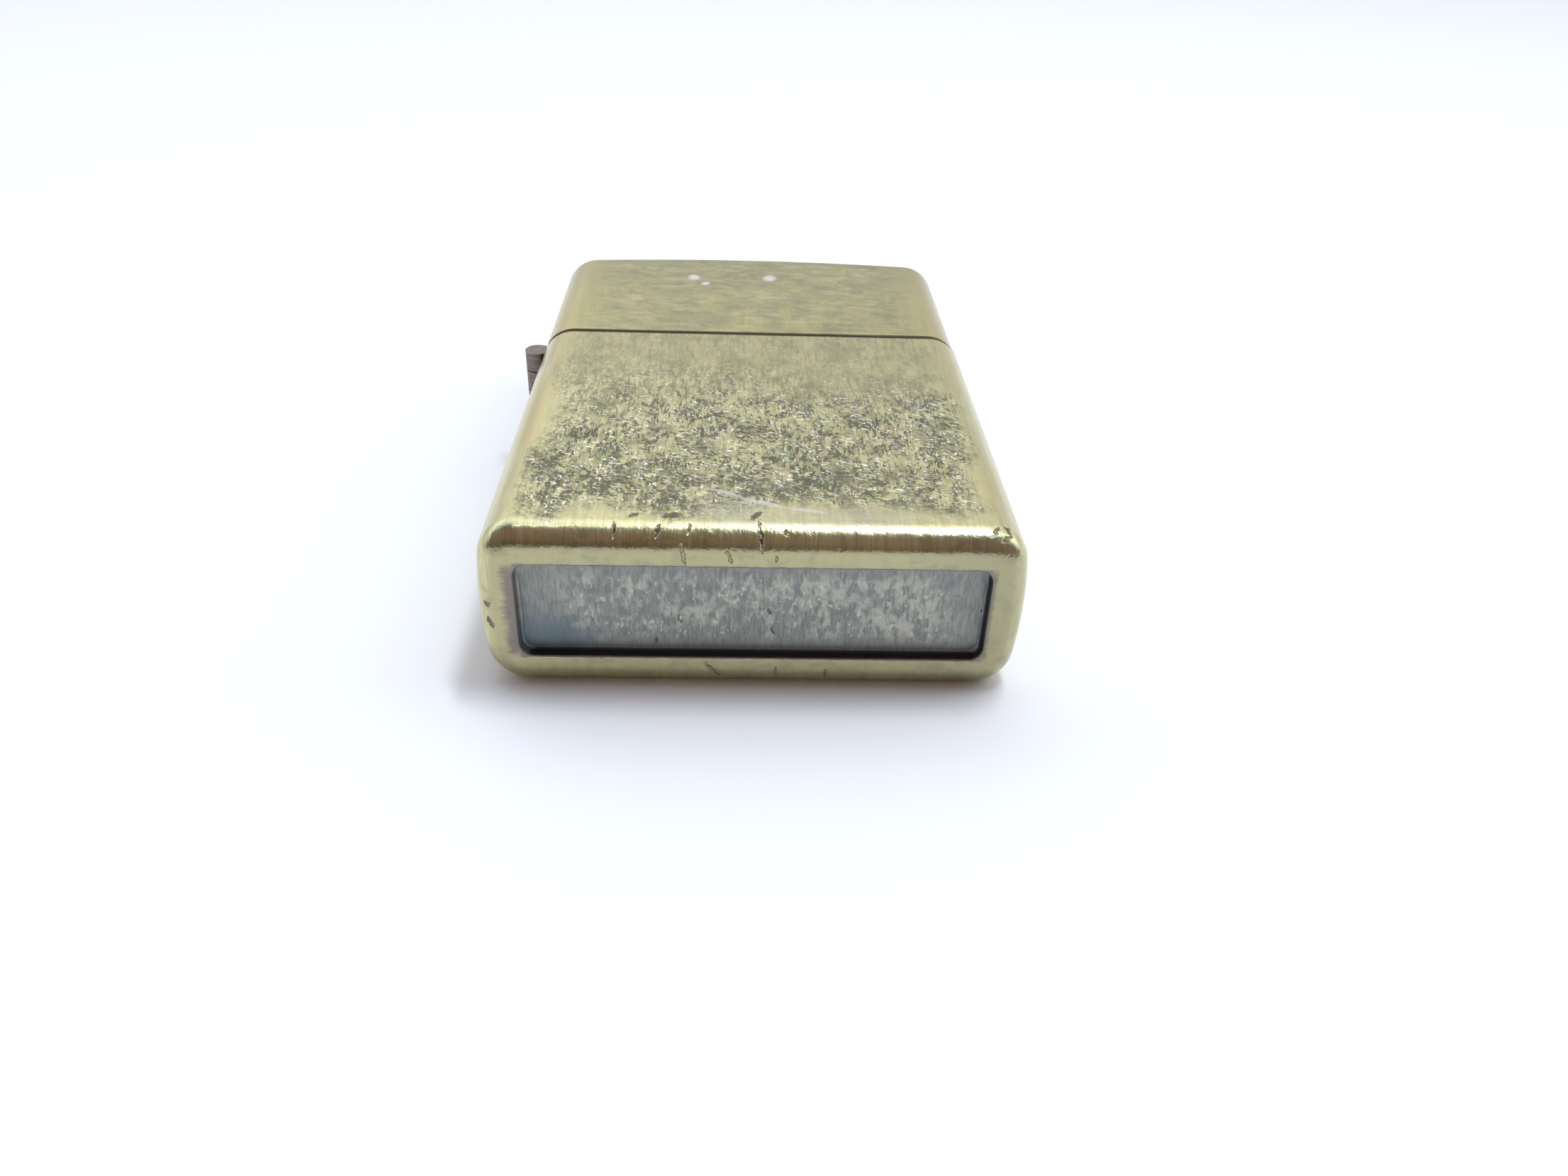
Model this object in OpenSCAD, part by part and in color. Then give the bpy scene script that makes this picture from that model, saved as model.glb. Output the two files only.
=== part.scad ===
// Flip-top pocket lighter, closed.
//
// Every sub-part is drawn upright: X across the width with the hinge at -X, Y through the thickness
// with the front face at -Y, and Z up from the base. lay_down() then lays the whole lighter on its
// back face, so that X stays the width, Y runs from the base to the lid, and Z is the thickness.

/* [Case] */
// Width across the two narrow sides
case_w = 38.1; // [30:0.1:45]
// Height from the base to the top of the lid
case_h = 57.15; // [50:0.05:70]
// Thickness between the two broad faces
case_t = 12.9; // [10:0.1:16]
// Height of the seam between the case and the lid
seam_h = 35; // [30:0.1:40]
// Gap between the two rims at the seam
seam_gap = 0.12; // [0.05:0.01:0.3]
// Thickness of the drawn brass
wall = 0.65; // [0.5:0.05:1]
// Radius of the four upright edges
edge_r = 2.9; // [1.5:0.1:4]
// Radius of the gentle bulge of the narrow sides
bulge_r = 33.5; // [20:0.5:80]
// Radius of the edge round the base
base_r = 1.75; // [0.5:0.05:2.5]
// Radius of the edge round the top of the lid
top_r = 2.5; // [1:0.1:4]
// How much lower the lid's top is at its ends than in its middle
crown = 1.3; // [0:0.1:3]

/* [Base recess] */
// Width of the sunk panel in the base
recess_w = 32.5; // [20:0.1:36]
// Depth of the sunk panel, front to back
recess_t = 7.45; // [4:0.05:10]
// How far the panel is sunk
recess_depth = 0.9; // [0.2:0.1:1.5]
// Corner radius of the panel
recess_r = 1; // [0.2:0.1:2]

/* [Hinge] */
// Distance of the hinge axis from the middle of the width
hinge_x = 19.4; // [18:0.05:22]
// Length of the barrel
barrel_l = 9.1; // [5:0.1:11]
// Outer radius of the barrel
barrel_r = 1.1; // [0.8:0.05:1.5]
// Number of knuckles, counting both leaves
knuckles = 5; // [3:2:7]
// Radius of the hinge pin
pin_r = 0.5; // [0.3:0.05:0.7]
// Thickness of the leaves inside the walls
leaf_t = 0.42; // [0.3:0.01:0.6]
// Height of each leaf
leaf_h = 5.5; // [3:0.1:9]

/* [Insert] */
// Width of the steel can inside the case
can_w = 35.8; // [30:0.1:36.5]
// Thickness of the steel can
can_t = 11.3; // [9:0.1:11.6]
// How far the can sits toward the plain side, clear of the hinge leaf
can_shift = 0.2; // [0:0.05:0.5]
// Height of the bottom of the can
can_low = 2.35; // [2:0.05:3.5]
// Height of the top of the can
can_top = 36.5; // [35.5:0.1:38]
// Sheet thickness of the can and its top plate
sheet = 0.45; // [0.3:0.05:0.7]

/* [Chimney] */
// Distance of the chimney's middle from the middle of the width, toward the hinge
chimney_x = 1.9; // [0:0.1:4]
// Width of the chimney
chimney_w = 15; // [12:0.1:17]
// Thickness of the chimney
chimney_t = 9.2; // [7:0.1:10]
// Height of the chimney above the top plate
chimney_h = 15.4; // [12:0.1:17]
// Radius of the air holes
air_hole_r = 1; // [0.6:0.05:1.3]
// Spacing of the air holes in a row
air_hole_pitch = 3.7; // [2.5:0.1:5]
// Spacing of the three rows of air holes
air_row_pitch = 3.5; // [2.5:0.1:5]

/* [Wheel and flint] */
// Radius of the striker wheel
wheel_r = 3.9; // [3:0.1:4.5]
// Width of the striker wheel
wheel_w = 4.8; // [3:0.1:6]
// Distance of the wheel's axis from the middle of the width
wheel_x = 10.3; // [8:0.1:12]
// Height of the wheel's axis
wheel_z = 46.5; // [44:0.1:48]
// Number of coarse teeth on each rim of the wheel
teeth = 28; // [16:1:40]
// Radius of the flint
flint_r = 1.2; // [1:0.05:1.5]
// Length of the flint
flint_l = 5.5; // [3:0.1:6]
// Offset of the flint from the wheel's axis
flint_offset = 0.6; // [0:0.1:1]
// Turns of the flint spring
spring_turns = 18; // [8:1:24]

/* [Cam] */
// Distance of the cam's axis from the middle of the width
cam_x = 12.4; // [11:0.1:14]
// Height of the cam's axis
cam_z = 39.4; // [38.5:0.1:41]
// Width of the cam
cam_w = 3.6; // [2:0.1:5]
// Length of the cam's nose from its axis
nose_l = 4.2; // [3:0.1:5]
// Direction of the nose, in degrees from +X
nose_angle = 130; // [110:1:150]

/* [Hidden] */
$fn = 64;
eps = 0.01;
fit = 0.02;
running_fit = 0.06;
small_gap = 0.12;

brass = [0.66, 0.60, 0.44];
lid_brass = [0.64, 0.59, 0.45];
dark_steel = [0.24, 0.22, 0.2];
bright_steel = [0.72, 0.72, 0.71];
plain_brass = [0.78, 0.66, 0.36];
felt_white = [0.86, 0.84, 0.8];

axis_x = -hinge_x;
knuckle_pitch = barrel_l / knuckles;
knuckle_gap = 0.1;
notch_r = barrel_r + 0.3;
leaf_clear_r = barrel_r + 0.16;
strap_half = 3.8;

floor_z = recess_depth + wall;
can_mid_x = can_shift;
chimney_mid_x = -chimney_x;
chimney_left = chimney_mid_x - chimney_w / 2;
chimney_right = chimney_mid_x + chimney_w / 2;
plate_low = can_top - sheet;

ear_t = sheet;
wheel_ear_y = wheel_w / 2 + 0.35;
cam_ear_y = cam_w / 2 + 0.45;
rivet_r = 0.75;
rivet_head_r = 1.35;
rivet_head_t = 0.4;

screw_head_r = 2.4;
screw_head_t = 1.2;
screw_low = can_low + 0.3;
screw_shank_top = 9;
flint_x = wheel_x - flint_offset;
tube_r = 1.75;
tube_bore_r = flint_r + 0.08;
tube_low = screw_low + screw_head_t + 0.05;
tube_top = 41;
flint_top = wheel_z - sqrt(wheel_r * wheel_r - flint_offset * flint_offset) - small_gap;
flint_low = flint_top - flint_l;
tip_h = 1.8;
tip_low = flint_low - tip_h;
spring_wire_r = 0.16;
spring_low = screw_shank_top + 0.05;
spring_top = tip_low - 0.05;

felt_low = 3.9;
felt_t = 2.1;
packing_low = felt_low + felt_t + 0.05;
packing_top = plate_low - 0.4;
wick_r = 1.35;
wick_low = 8;
wick_top = 46;

leaf_spring_t = 0.35;
leaf_spring_w = 3;
spring_rivet_x = chimney_left + 2.4;

tab_t = 0.5;
tab_w = 3.4;
tab_reach = 2.4;
tab_z = 41.7;

corner_steps = 7;
bulge_steps = 2;
flat_steps = 8;
round_steps = 5;

// ---- Outlines and rounded blocks ----

// Half of the outline of a tin with flat faces, round edges and bulging sides, from +X to -X.
function half_outline(w, t, r, bulge) =
    let(phi = asin((t / 2 - r) / (bulge - r)),
        mid = w / 2 - bulge,
        cx = mid + (bulge - r) * cos(phi),
        cy = t / 2 - r,
        side = [for (i = [0.5 : 1 : bulge_steps - 0.5])
            let(a = phi * i / bulge_steps) [mid + bulge * cos(a), bulge * sin(a)]],
        corner = [for (i = [0 : corner_steps])
            let(a = phi + (90 - phi) * i / corner_steps) [cx + r * cos(a), cy + r * sin(a)]],
        flat = [for (i = [1 : flat_steps / 2]) [cx * (1 - 2 * i / flat_steps), t / 2]],
        right = concat(side, corner, flat),
        n = len(right))
    concat(right, [for (i = [n - 2 : -1 : 0]) [-right[i][0], right[i][1]]]);

// The whole outline, anticlockwise, drawn in by d on every side.
function tin_outline(w, t, r, bulge, d = 0) =
    let(half = half_outline(w - 2 * d, t - 2 * d, r - d, bulge - d), n = len(half))
    concat(half, [for (i = [n - 1 : -1 : 0]) [half[i][0], -half[i][1]]]);

function top_drop(x, w, sag) = sag * pow(2 * x / w, 2);

// A ring of points at height z, inset by d, that follows the crown of the top.
function ring(w, t, r, bulge, d, z, sag) =
    [for (p = tin_outline(w, t, r, bulge, d)) [p[0], p[1], z - top_drop(p[0], w, sag)]];

// A closed tin-shaped block with a round bottom edge, a round top edge and a crowned top.
module tin_block(w, t, r, bulge, low, high, low_r, high_r, sag = 0) {
    low_rings = [for (i = [0 : round_steps])
        let(a = 90 * i / round_steps)
        ring(w, t, r, bulge, low_r * (1 - sin(a)), low + low_r * (1 - cos(a)), 0)];
    high_rings = [for (i = [0 : round_steps])
        let(a = 90 * i / round_steps)
        ring(w, t, r, bulge, high_r * (1 - cos(a)), high - high_r * (1 - sin(a)), sag)];
    rings = concat(low_r > 0 ? low_rings : [low_rings[0]], high_r > 0 ? high_rings : [high_rings[0]]);
    n = len(rings[0]);
    last = len(rings) - 1;
    half = n / 2;
    sides = [for (k = [0 : last - 1], i = [0 : n - 1])
        let(j = (i + 1) % n)
        [k * n + i, (k + 1) * n + i, (k + 1) * n + j, k * n + j]];
    base_cap = [for (i = [0 : half - 2]) [i, i + 1, n - 2 - i, n - 1 - i]];
    top_cap = [for (i = [0 : half - 2])
        [last * n + n - 1 - i, last * n + n - 2 - i, last * n + i + 1, last * n + i]];
    polyhedron([for (one = rings, p = one) p], concat(sides, base_cap, top_cap));
}

module case_block(d, low, high, low_r, high_r, sag = 0) {
    tin_block(case_w - 2 * d, case_t - 2 * d, edge_r - d, bulge_r - d, low, high, low_r, high_r, sag);
}

// A straight prism with the can's outline, drawn in by d.
module can_prism(d, low, high) {
    translate([can_mid_x, 0, low])
        linear_extrude(high - low) polygon(tin_outline(can_w, can_t, 2.3, 30, d));
}

function rounded_rectangle(w, t, r, steps = 5) =
    [for (corner = [0 : 3], i = [0 : steps])
        let(a = corner * 90 + 90 * i / steps,
            sx = (corner == 0 || corner == 3) ? 1 : -1,
            sy = (corner < 2) ? 1 : -1)
        [sx * (w / 2 - r) + r * cos(a), sy * (t / 2 - r) + r * sin(a)]];

// A cylinder along Y, centred on the thickness.
module cross_cylinder(x, z, r, length) {
    translate([x, length / 2, z]) rotate([90, 0, 0]) cylinder(h = length, r = r);
}

// A flat shape drawn in X and Z, given a thickness along Y and centred on y.
module cross_plate(y, thickness) {
    translate([0, y + thickness / 2, 0]) rotate([90, 0, 0]) linear_extrude(thickness) children();
}

// ---- Case and lid ----

module case_shell() {
    color(brass) difference() {
        case_block(0, 0, seam_h - seam_gap / 2, base_r, 0);
        case_block(wall, floor_z, seam_h + 1, base_r - wall, 0);
        translate([0, 0, -1])
            linear_extrude(recess_depth + 1) polygon(rounded_rectangle(recess_w, recess_t, recess_r));
        cross_cylinder(axis_x, seam_h, notch_r, barrel_l + 0.3);
    }
}

module lid_shell() {
    color(lid_brass) difference() {
        case_block(0, seam_h + seam_gap / 2, case_h, 0, top_r, crown);
        case_block(wall, seam_h - 1, case_h - wall, 0, top_r - wall, crown);
        cross_cylinder(axis_x, seam_h, notch_r, barrel_l + 0.3);
    }
}

// ---- Hinge ----

function knuckle_y(i) = -barrel_l / 2 + (i + 0.5) * knuckle_pitch;

// A band that follows the inside of the hinge-side wall, from one height to another.
module leaf_band(low, high) {
    intersection() {
        translate([0, 0, low]) linear_extrude(high - low) difference() {
            polygon(tin_outline(case_w, case_t, edge_r, bulge_r, wall + fit));
            polygon(tin_outline(case_w, case_t, edge_r, bulge_r, wall + fit + leaf_t));
        }
        translate([-case_w / 2, -barrel_l / 2, low - 1]) cube([4, barrel_l, high - low + 2]);
    }
}

// One leaf with its knuckles: side is -1 below the seam and +1 above it.
module hinge_leaf(side, first, bore_r) {
    knuckle_l = knuckle_pitch - knuckle_gap;
    leaf_low = side < 0 ? seam_h - leaf_h : seam_h + small_gap / 2;
    leaf_high = side < 0 ? seam_h - small_gap / 2 : seam_h + leaf_h;
    difference() {
        union() {
            difference() {
                leaf_band(leaf_low, leaf_high);
                cross_cylinder(axis_x, seam_h, leaf_clear_r, barrel_l + 1);
            }
            for (i = [first : 2 : knuckles - 1]) {
                translate([0, knuckle_y(i), 0]) cross_cylinder(axis_x, seam_h, barrel_r, knuckle_l);
                strap(side, max(knuckle_y(i) - knuckle_l / 2, -strap_half),
                      min(knuckle_y(i) + knuckle_l / 2, strap_half));
            }
        }
        cross_cylinder(axis_x, seam_h, bore_r, barrel_l + 2);
    }
}

// The metal that leads from a knuckle to its leaf, kept off the round edges of the walls.
module strap(side, from_y, to_y) {
    strap_in = case_w / 2 - wall - fit - leaf_t;
    strap_h = 0.8 * barrel_r - small_gap / 2;
    translate([axis_x, from_y, side < 0 ? seam_h - strap_h - small_gap / 2 : seam_h + small_gap / 2])
        cube([hinge_x - strap_in, to_y - from_y, strap_h]);
}

module hinge_case_leaf() {
    color(dark_steel) hinge_leaf(-1, 0, pin_r + fit);
}

module hinge_lid_leaf() {
    color(dark_steel) hinge_leaf(1, 1, pin_r + running_fit);
}

module hinge_pin() {
    color(dark_steel) cross_cylinder(axis_x, seam_h, pin_r, barrel_l - 0.1);
}

module lid_stop_tab() {
    reach_x = -case_w / 2 + wall + leaf_t + 3 * fit;
    color(dark_steel) {
        translate([reach_x, -tab_w / 2, tab_z - 3]) cube([tab_t, tab_w, 3 + tab_t]);
        translate([reach_x, -tab_w / 2, tab_z]) cube([tab_reach, tab_w, tab_t]);
    }
}

// ---- Insert ----

module insert_can() {
    color(bright_steel) difference() {
        can_prism(0, can_low, can_top);
        can_prism(sheet, can_low - 1, can_top + 1);
    }
}

module top_plate() {
    color(bright_steel) difference() {
        can_prism(sheet + fit, plate_low, can_top);
        translate([chimney_mid_x, 0, plate_low - 1]) cylinder(h = 3, r = wick_r + small_gap);
        translate([flint_x, 0, plate_low - 1]) cylinder(h = 3, r = tube_r + fit);
        translate([spring_rivet_x, 0, plate_low - 1]) cylinder(h = 3, r = rivet_r + fit);
    }
}

module ear_outline(x, z, r, foot_left, foot_right) {
    translate([x, z]) circle(r = r);
    polygon([[foot_left, can_top], [foot_right, can_top], [foot_right, z], [x + r, z],
             [x - r, z], [foot_left, z]]);
}

module ear_pair(y, x, z, r, foot_left, foot_right) {
    for (side = [-1, 1])
        difference() {
            cross_plate(side * (y + ear_t / 2), ear_t) ear_outline(x, z, r, foot_left, foot_right);
            cross_cylinder(x, z, rivet_r + fit, chimney_t + 2);
        }
}

module air_holes() {
    mid_z = can_top + 0.46 * chimney_h;
    for (row = [-1 : 1], column = [0 : row == 0 ? 1 : 2]) {
        first = row == 0 ? -0.5 : -1;
        cross_cylinder(chimney_mid_x + (first + column) * air_hole_pitch, mid_z + row * air_row_pitch,
                       air_hole_r, chimney_t + 2);
    }
}

module chimney() {
    color(bright_steel) {
        difference() {
            translate([chimney_mid_x, 0, can_top + eps]) linear_extrude(chimney_h)
                polygon(rounded_rectangle(chimney_w, chimney_t, 1.5));
            translate([chimney_mid_x, 0, can_top - 1]) linear_extrude(chimney_h + 2)
                polygon(rounded_rectangle(chimney_w - 2 * sheet, chimney_t - 2 * sheet, 1.5 - sheet));
            air_holes();
            translate([chimney_left - 1, -leaf_spring_w / 2 - 0.2, can_top - 1])
                cube([2, leaf_spring_w + 0.4, 1 + 2 * leaf_spring_t]);
        }
        translate([0, 0, eps]) {
            ear_pair(wheel_ear_y, wheel_x, wheel_z - eps, 2.3, chimney_right - sheet / 2, wheel_x + 2.3);
            ear_pair(cam_ear_y, -cam_x, cam_z - eps, 2.2, -cam_x - 2.2, chimney_left + sheet / 2);
        }
    }
}

// A rivet along Y with a round head beyond each of two ears.
module rivet(x, z, ear_y) {
    grip = 2 * (ear_y + ear_t + fit);
    cross_cylinder(x, z, rivet_r, grip);
    for (side = [-1, 1])
        translate([0, side * (grip / 2 + rivet_head_t / 2), 0])
            cross_cylinder(x, z, rivet_head_r, rivet_head_t);
}

module wheel_rivet() {
    color(bright_steel) rivet(wheel_x, wheel_z, wheel_ear_y);
}

module cam_rivet() {
    color(bright_steel) rivet(-cam_x, cam_z, cam_ear_y);
}

// ---- Cam and its spring ----

module cam() {
    tip = [nose_l * cos(nose_angle), nose_l * sin(nose_angle)];
    across = [0.55 * sin(nose_angle), -0.55 * cos(nose_angle)];
    color(dark_steel) difference() {
        cross_plate(0, cam_w) translate([-cam_x, cam_z]) {
            circle(r = 1.9);
            polygon([tip - across, [-1.6, 0.6], [-0.4, -0.6], [1.2, 0.9], tip + across]);
        }
        cross_cylinder(-cam_x, cam_z, rivet_r + running_fit, cam_w + 2);
    }
}

module cam_spring() {
    low = can_top + 2 * eps;
    rise = cam_z - 1.9 - small_gap - leaf_spring_t - low;
    color(bright_steel) difference() {
        cross_plate(0, leaf_spring_w)
            polygon([[spring_rivet_x + 1.5, low], [spring_rivet_x + 1.5, low + leaf_spring_t],
                     [spring_rivet_x - 1.6, low + leaf_spring_t],
                     [-cam_x + 1, low + rise + leaf_spring_t - 0.02],
                     [-cam_x - 2, low + rise + leaf_spring_t - 0.3],
                     [-cam_x - 2, low + rise - 0.3], [-cam_x + 1, low + rise - 0.02],
                     [spring_rivet_x - 1.6, low]]);
        translate([spring_rivet_x, 0, low - 1]) cylinder(h = 3, r = rivet_r + fit);
    }
}

module cam_spring_rivet() {
    head_low = can_top + leaf_spring_t + 3 * eps;
    color(plain_brass) translate([spring_rivet_x, 0, 0]) {
        translate([0, 0, plate_low]) cylinder(h = head_low - plate_low + eps, r = rivet_r);
        translate([0, 0, head_low]) cylinder(h = 0.5, r = rivet_head_r);
    }
}

// ---- Wheel and flint ----

// A disc along Y with saw teeth, for one rim of the striker wheel.
module toothed_disc(r, depth, count, y, thickness) {
    cross_plate(y, thickness) translate([wheel_x, wheel_z])
        polygon([for (i = [0 : count - 1], k = [0 : 1])
            let(a = 360 * (i + 0.35 * k) / count, rr = r - depth * k)
            [rr * cos(a), rr * sin(a)]]);
}

module striker_wheel() {
    rim_w = 1.05;
    color(dark_steel) difference() {
        union() {
            toothed_disc(wheel_r - 0.12, 0.12, 2 * teeth, 0, wheel_w - 2 * rim_w + 0.02);
            for (side = [-1, 1])
                toothed_disc(wheel_r, 0.38, teeth, side * (wheel_w - rim_w) / 2, rim_w);
        }
        cross_cylinder(wheel_x, wheel_z, rivet_r + running_fit, wheel_w + 2);
    }
}

module flint_tube() {
    color(plain_brass) translate([flint_x, 0, tube_low]) difference() {
        cylinder(h = tube_top - tube_low, r = tube_r);
        translate([0, 0, -1]) cylinder(h = tube_top - tube_low + 2, r = tube_bore_r);
    }
}

module flint() {
    color(dark_steel) translate([flint_x, 0, flint_low]) cylinder(h = flint_l, r = flint_r);
}

module flint_spring_tip() {
    color(plain_brass) translate([flint_x, 0, tip_low]) {
        cylinder(h = tip_h - eps, r = flint_r - 0.02);
    }
}

module flint_spring() {
    steps = 12;
    sides = 5;
    count = spring_turns * steps;
    coil_r = flint_r - spring_wire_r - 0.05;
    low = spring_low + spring_wire_r;
    high = spring_top - spring_wire_r;
    points = [for (i = [0 : count], k = [0 : sides - 1])
        let(a = 360 * i / steps, b = 360 * k / sides, r = coil_r + spring_wire_r * cos(b))
        [r * cos(a), r * sin(a), low + (high - low) * i / count + spring_wire_r * sin(b)]];
    walls = [for (i = [0 : count - 1], k = [0 : sides - 1])
        let(m = (k + 1) % sides)
        [i * sides + k, i * sides + m, (i + 1) * sides + m, (i + 1) * sides + k]];
    ends = [[for (k = [sides - 1 : -1 : 0]) k], [for (k = [0 : sides - 1]) count * sides + k]];
    color(bright_steel) translate([flint_x, 0, 0]) polyhedron(points, concat(walls, ends));
}

module flint_screw() {
    color(plain_brass) translate([flint_x, 0, screw_low]) difference() {
        union() {
            cylinder(h = screw_head_t, r = screw_head_r);
            cylinder(h = screw_shank_top - screw_low, r = tube_bore_r - 0.03);
        }
        translate([-screw_head_r - 1, -0.35, -1]) cube([2 * screw_head_r + 2, 0.7, 1.6]);
    }
}

// ---- Wick, packing and felt ----

module wick() {
    color(felt_white) translate([chimney_mid_x, 0, wick_low])
        cylinder(h = wick_top - wick_low, r = wick_r);
}

module packing() {
    color(felt_white) difference() {
        can_prism(sheet + small_gap, packing_low, packing_top);
        translate([chimney_mid_x, 0, wick_low - 0.1])
            cylinder(h = packing_top, r = wick_r + small_gap);
        translate([flint_x, 0, packing_low - 1]) cylinder(h = packing_top, r = tube_r + small_gap);
    }
}

module felt_pad() {
    color(felt_white) difference() {
        can_prism(sheet + small_gap, felt_low, felt_low + felt_t);
        translate([flint_x, 0, felt_low - 1]) cylinder(h = felt_t + 2, r = screw_head_r + 0.2);
    }
}

// ---- Assembly ----

module lay_down() {
    translate([0, -case_h / 2, case_t / 2]) rotate([-90, 0, 0]) children();
}

lay_down() case_shell();
lay_down() hinge_case_leaf();
lay_down() hinge_pin();
lay_down() insert_can();
lay_down() top_plate();
lay_down() chimney();
lay_down() wheel_rivet();
lay_down() cam_rivet();
lay_down() cam_spring();
lay_down() cam_spring_rivet();
lay_down() flint_tube();
lay_down() flint_screw();
lay_down() flint_spring();
lay_down() wick();
lay_down() packing();
lay_down() felt_pad();
lay_down() lid_shell();
lay_down() hinge_lid_leaf();
lay_down() lid_stop_tab();
lay_down() striker_wheel();
lay_down() cam();
lay_down() flint();
lay_down() flint_spring_tip();
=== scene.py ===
"""Looks for the flip-top lighter: smooth drawn-brass shells, worn and brushed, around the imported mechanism.

Shapes are worked out in millimetres as (x, v, h): x across the width, v from the middle of the thickness
towards the front face, and h up the length from the base. row() turns them into the frame's metres.
"""

import math

import bmesh
import bpy
from mathutils import Matrix, Vector, noise


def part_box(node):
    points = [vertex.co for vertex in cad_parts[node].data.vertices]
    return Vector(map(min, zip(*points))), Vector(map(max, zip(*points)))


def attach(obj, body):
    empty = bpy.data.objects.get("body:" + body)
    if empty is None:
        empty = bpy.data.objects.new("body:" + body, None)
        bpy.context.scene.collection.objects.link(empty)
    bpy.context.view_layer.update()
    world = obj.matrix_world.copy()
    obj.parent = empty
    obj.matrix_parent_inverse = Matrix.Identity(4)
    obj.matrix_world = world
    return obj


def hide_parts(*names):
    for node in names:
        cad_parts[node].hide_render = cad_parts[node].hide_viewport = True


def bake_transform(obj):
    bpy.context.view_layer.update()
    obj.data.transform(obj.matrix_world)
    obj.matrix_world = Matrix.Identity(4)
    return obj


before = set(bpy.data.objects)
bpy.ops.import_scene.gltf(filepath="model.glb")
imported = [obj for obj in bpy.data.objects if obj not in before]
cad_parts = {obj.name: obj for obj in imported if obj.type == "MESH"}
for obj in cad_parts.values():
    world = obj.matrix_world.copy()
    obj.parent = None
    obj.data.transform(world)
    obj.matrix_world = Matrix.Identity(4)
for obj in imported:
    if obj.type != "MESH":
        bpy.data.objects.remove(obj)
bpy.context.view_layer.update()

MM = 0.001


def box_mm(node):
    low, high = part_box(node)
    return Vector(low) / MM, Vector(high) / MM


CASE_LOW, CASE_HIGH = box_mm("case_shell")
LID_LOW, LID_HIGH = box_mm("lid_shell")
WIDTH = CASE_HIGH.x - CASE_LOW.x
THICK = CASE_HIGH.z - CASE_LOW.z
LENGTH = LID_HIGH.y - CASE_LOW.y
RIM_H = CASE_HIGH.y - CASE_LOW.y
LID_H = LID_LOW.y - CASE_LOW.y
SEAM_H = (RIM_H + LID_H) / 2
PIN_LOW, PIN_HIGH = box_mm("hinge_pin")
BARREL_HALF = (PIN_HIGH.z - PIN_LOW.z) / 2 + 0.05

# The shells, in millimetres: wall, upright edges, bulging narrow sides, base and top edges, crown of the lid.
WALL = 0.65
EDGE_R = 2.9
BULGE_R = 33.5
BASE_R = 1.75
TOP_R = 2.5
CROWN = 1.3
# Rolled rims at the seam, how far in the lid's free side sits, and the notch beside the hinge barrel.
RIM_R = 0.13
LID_SLACK = 0.13
NOTCH = 1.38
NOTCH_REACH = 6.0
NOTCH_GAP = 0.16
# The sunk panel in the base, with the lip that rolls into it and the small round at its foot.
RECESS_W = 32.5
RECESS_T = 7.45
RECESS_R = 1.0
RECESS_DEPTH = 0.9
LIP_R = 0.16
FOOT_R = 0.18


def row(x, v, h):
    """From (x, v, h) in millimetres to the frame in metres."""
    return Vector((x, h - LENGTH / 2, v + THICK / 2)) * MM


def smooth(a, b, t):
    """0 below a, 1 above b, and an S-curve between."""
    s = min(max((t - a) / (b - a), 0.0), 1.0)
    return s * s * (3 - 2 * s)


# ---- Mesh helpers ----


def new_piece(name, mesh, body, material, replaces=()):
    piece = bpy.data.objects.new(name, mesh)
    bpy.context.scene.collection.objects.link(piece)
    for one in material if isinstance(material, (list, tuple)) else [material]:
        mesh.materials.append(one)
    if body:
        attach(piece, body)
    if replaces:
        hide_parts(*replaces)
    return piece


def plain_mesh(bm, name):
    """The mesh as it is, all smooth."""
    mesh = bpy.data.meshes.new(name)
    bm.to_mesh(mesh)
    bm.free()
    mesh.shade_smooth()
    return mesh


def finish_mesh(bm, name, sharp=35):
    """The mesh with its rings welded, normals outward, and edges sharp past so many degrees."""
    bmesh.ops.remove_doubles(bm, verts=bm.verts, dist=1e-7)
    bmesh.ops.recalc_face_normals(bm, faces=bm.faces)
    mesh = plain_mesh(bm, name)
    mesh.set_sharp_from_angle(angle=math.radians(sharp))
    return mesh


def join_rings(bm, rings, slots=None):
    """Walls between neighbouring closed rings of equal length. Returns the rings' vertices."""
    made = [[bm.verts.new(p) for p in one] for one in rings]
    count = len(made[0])
    for k in range(len(made) - 1):
        for i in range(count):
            j = (i + 1) % count
            face = bm.faces.new((made[k][i], made[k][j], made[k + 1][j], made[k + 1][i]))
            face.material_index = slots[k] if slots else 0
    return made


def fill_strips(bm, ring, steps, place, slot=0):
    """Fills a ring that is the same front and back with strips of quads; place(x, v) gives inner points."""
    half = len(ring) // 2
    lines = []
    for i in range(half + 1):
        front = ring[i]
        back = ring[(len(ring) - i) % len(ring)]
        if front is back:
            lines.append([front] * (steps + 1))
            continue
        a, b = front.co, back.co
        line = [front]
        for k in range(1, steps):
            x, z = a.x + (b.x - a.x) * k / steps, a.z + (b.z - a.z) * k / steps
            line.append(bm.verts.new(place(x / MM, z / MM - THICK / 2)))
        lines.append(line + [back])
    for left, right in zip(lines, lines[1:]):
        for k in range(steps):
            corners = []
            for vert in (left[k], left[k + 1], right[k + 1], right[k]):
                if vert not in corners:
                    corners.append(vert)
            if len(corners) > 2:
                bm.faces.new(corners).material_index = slot


# ---- Outlines ----

SIDE_STEPS = 6
FLAT_STEPS = 52
CORNER_ANGLES = [0, 5, 10, 15.0, 15.6, 22, 30, 38, 47, 56, 65, 74, 83.4]


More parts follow.
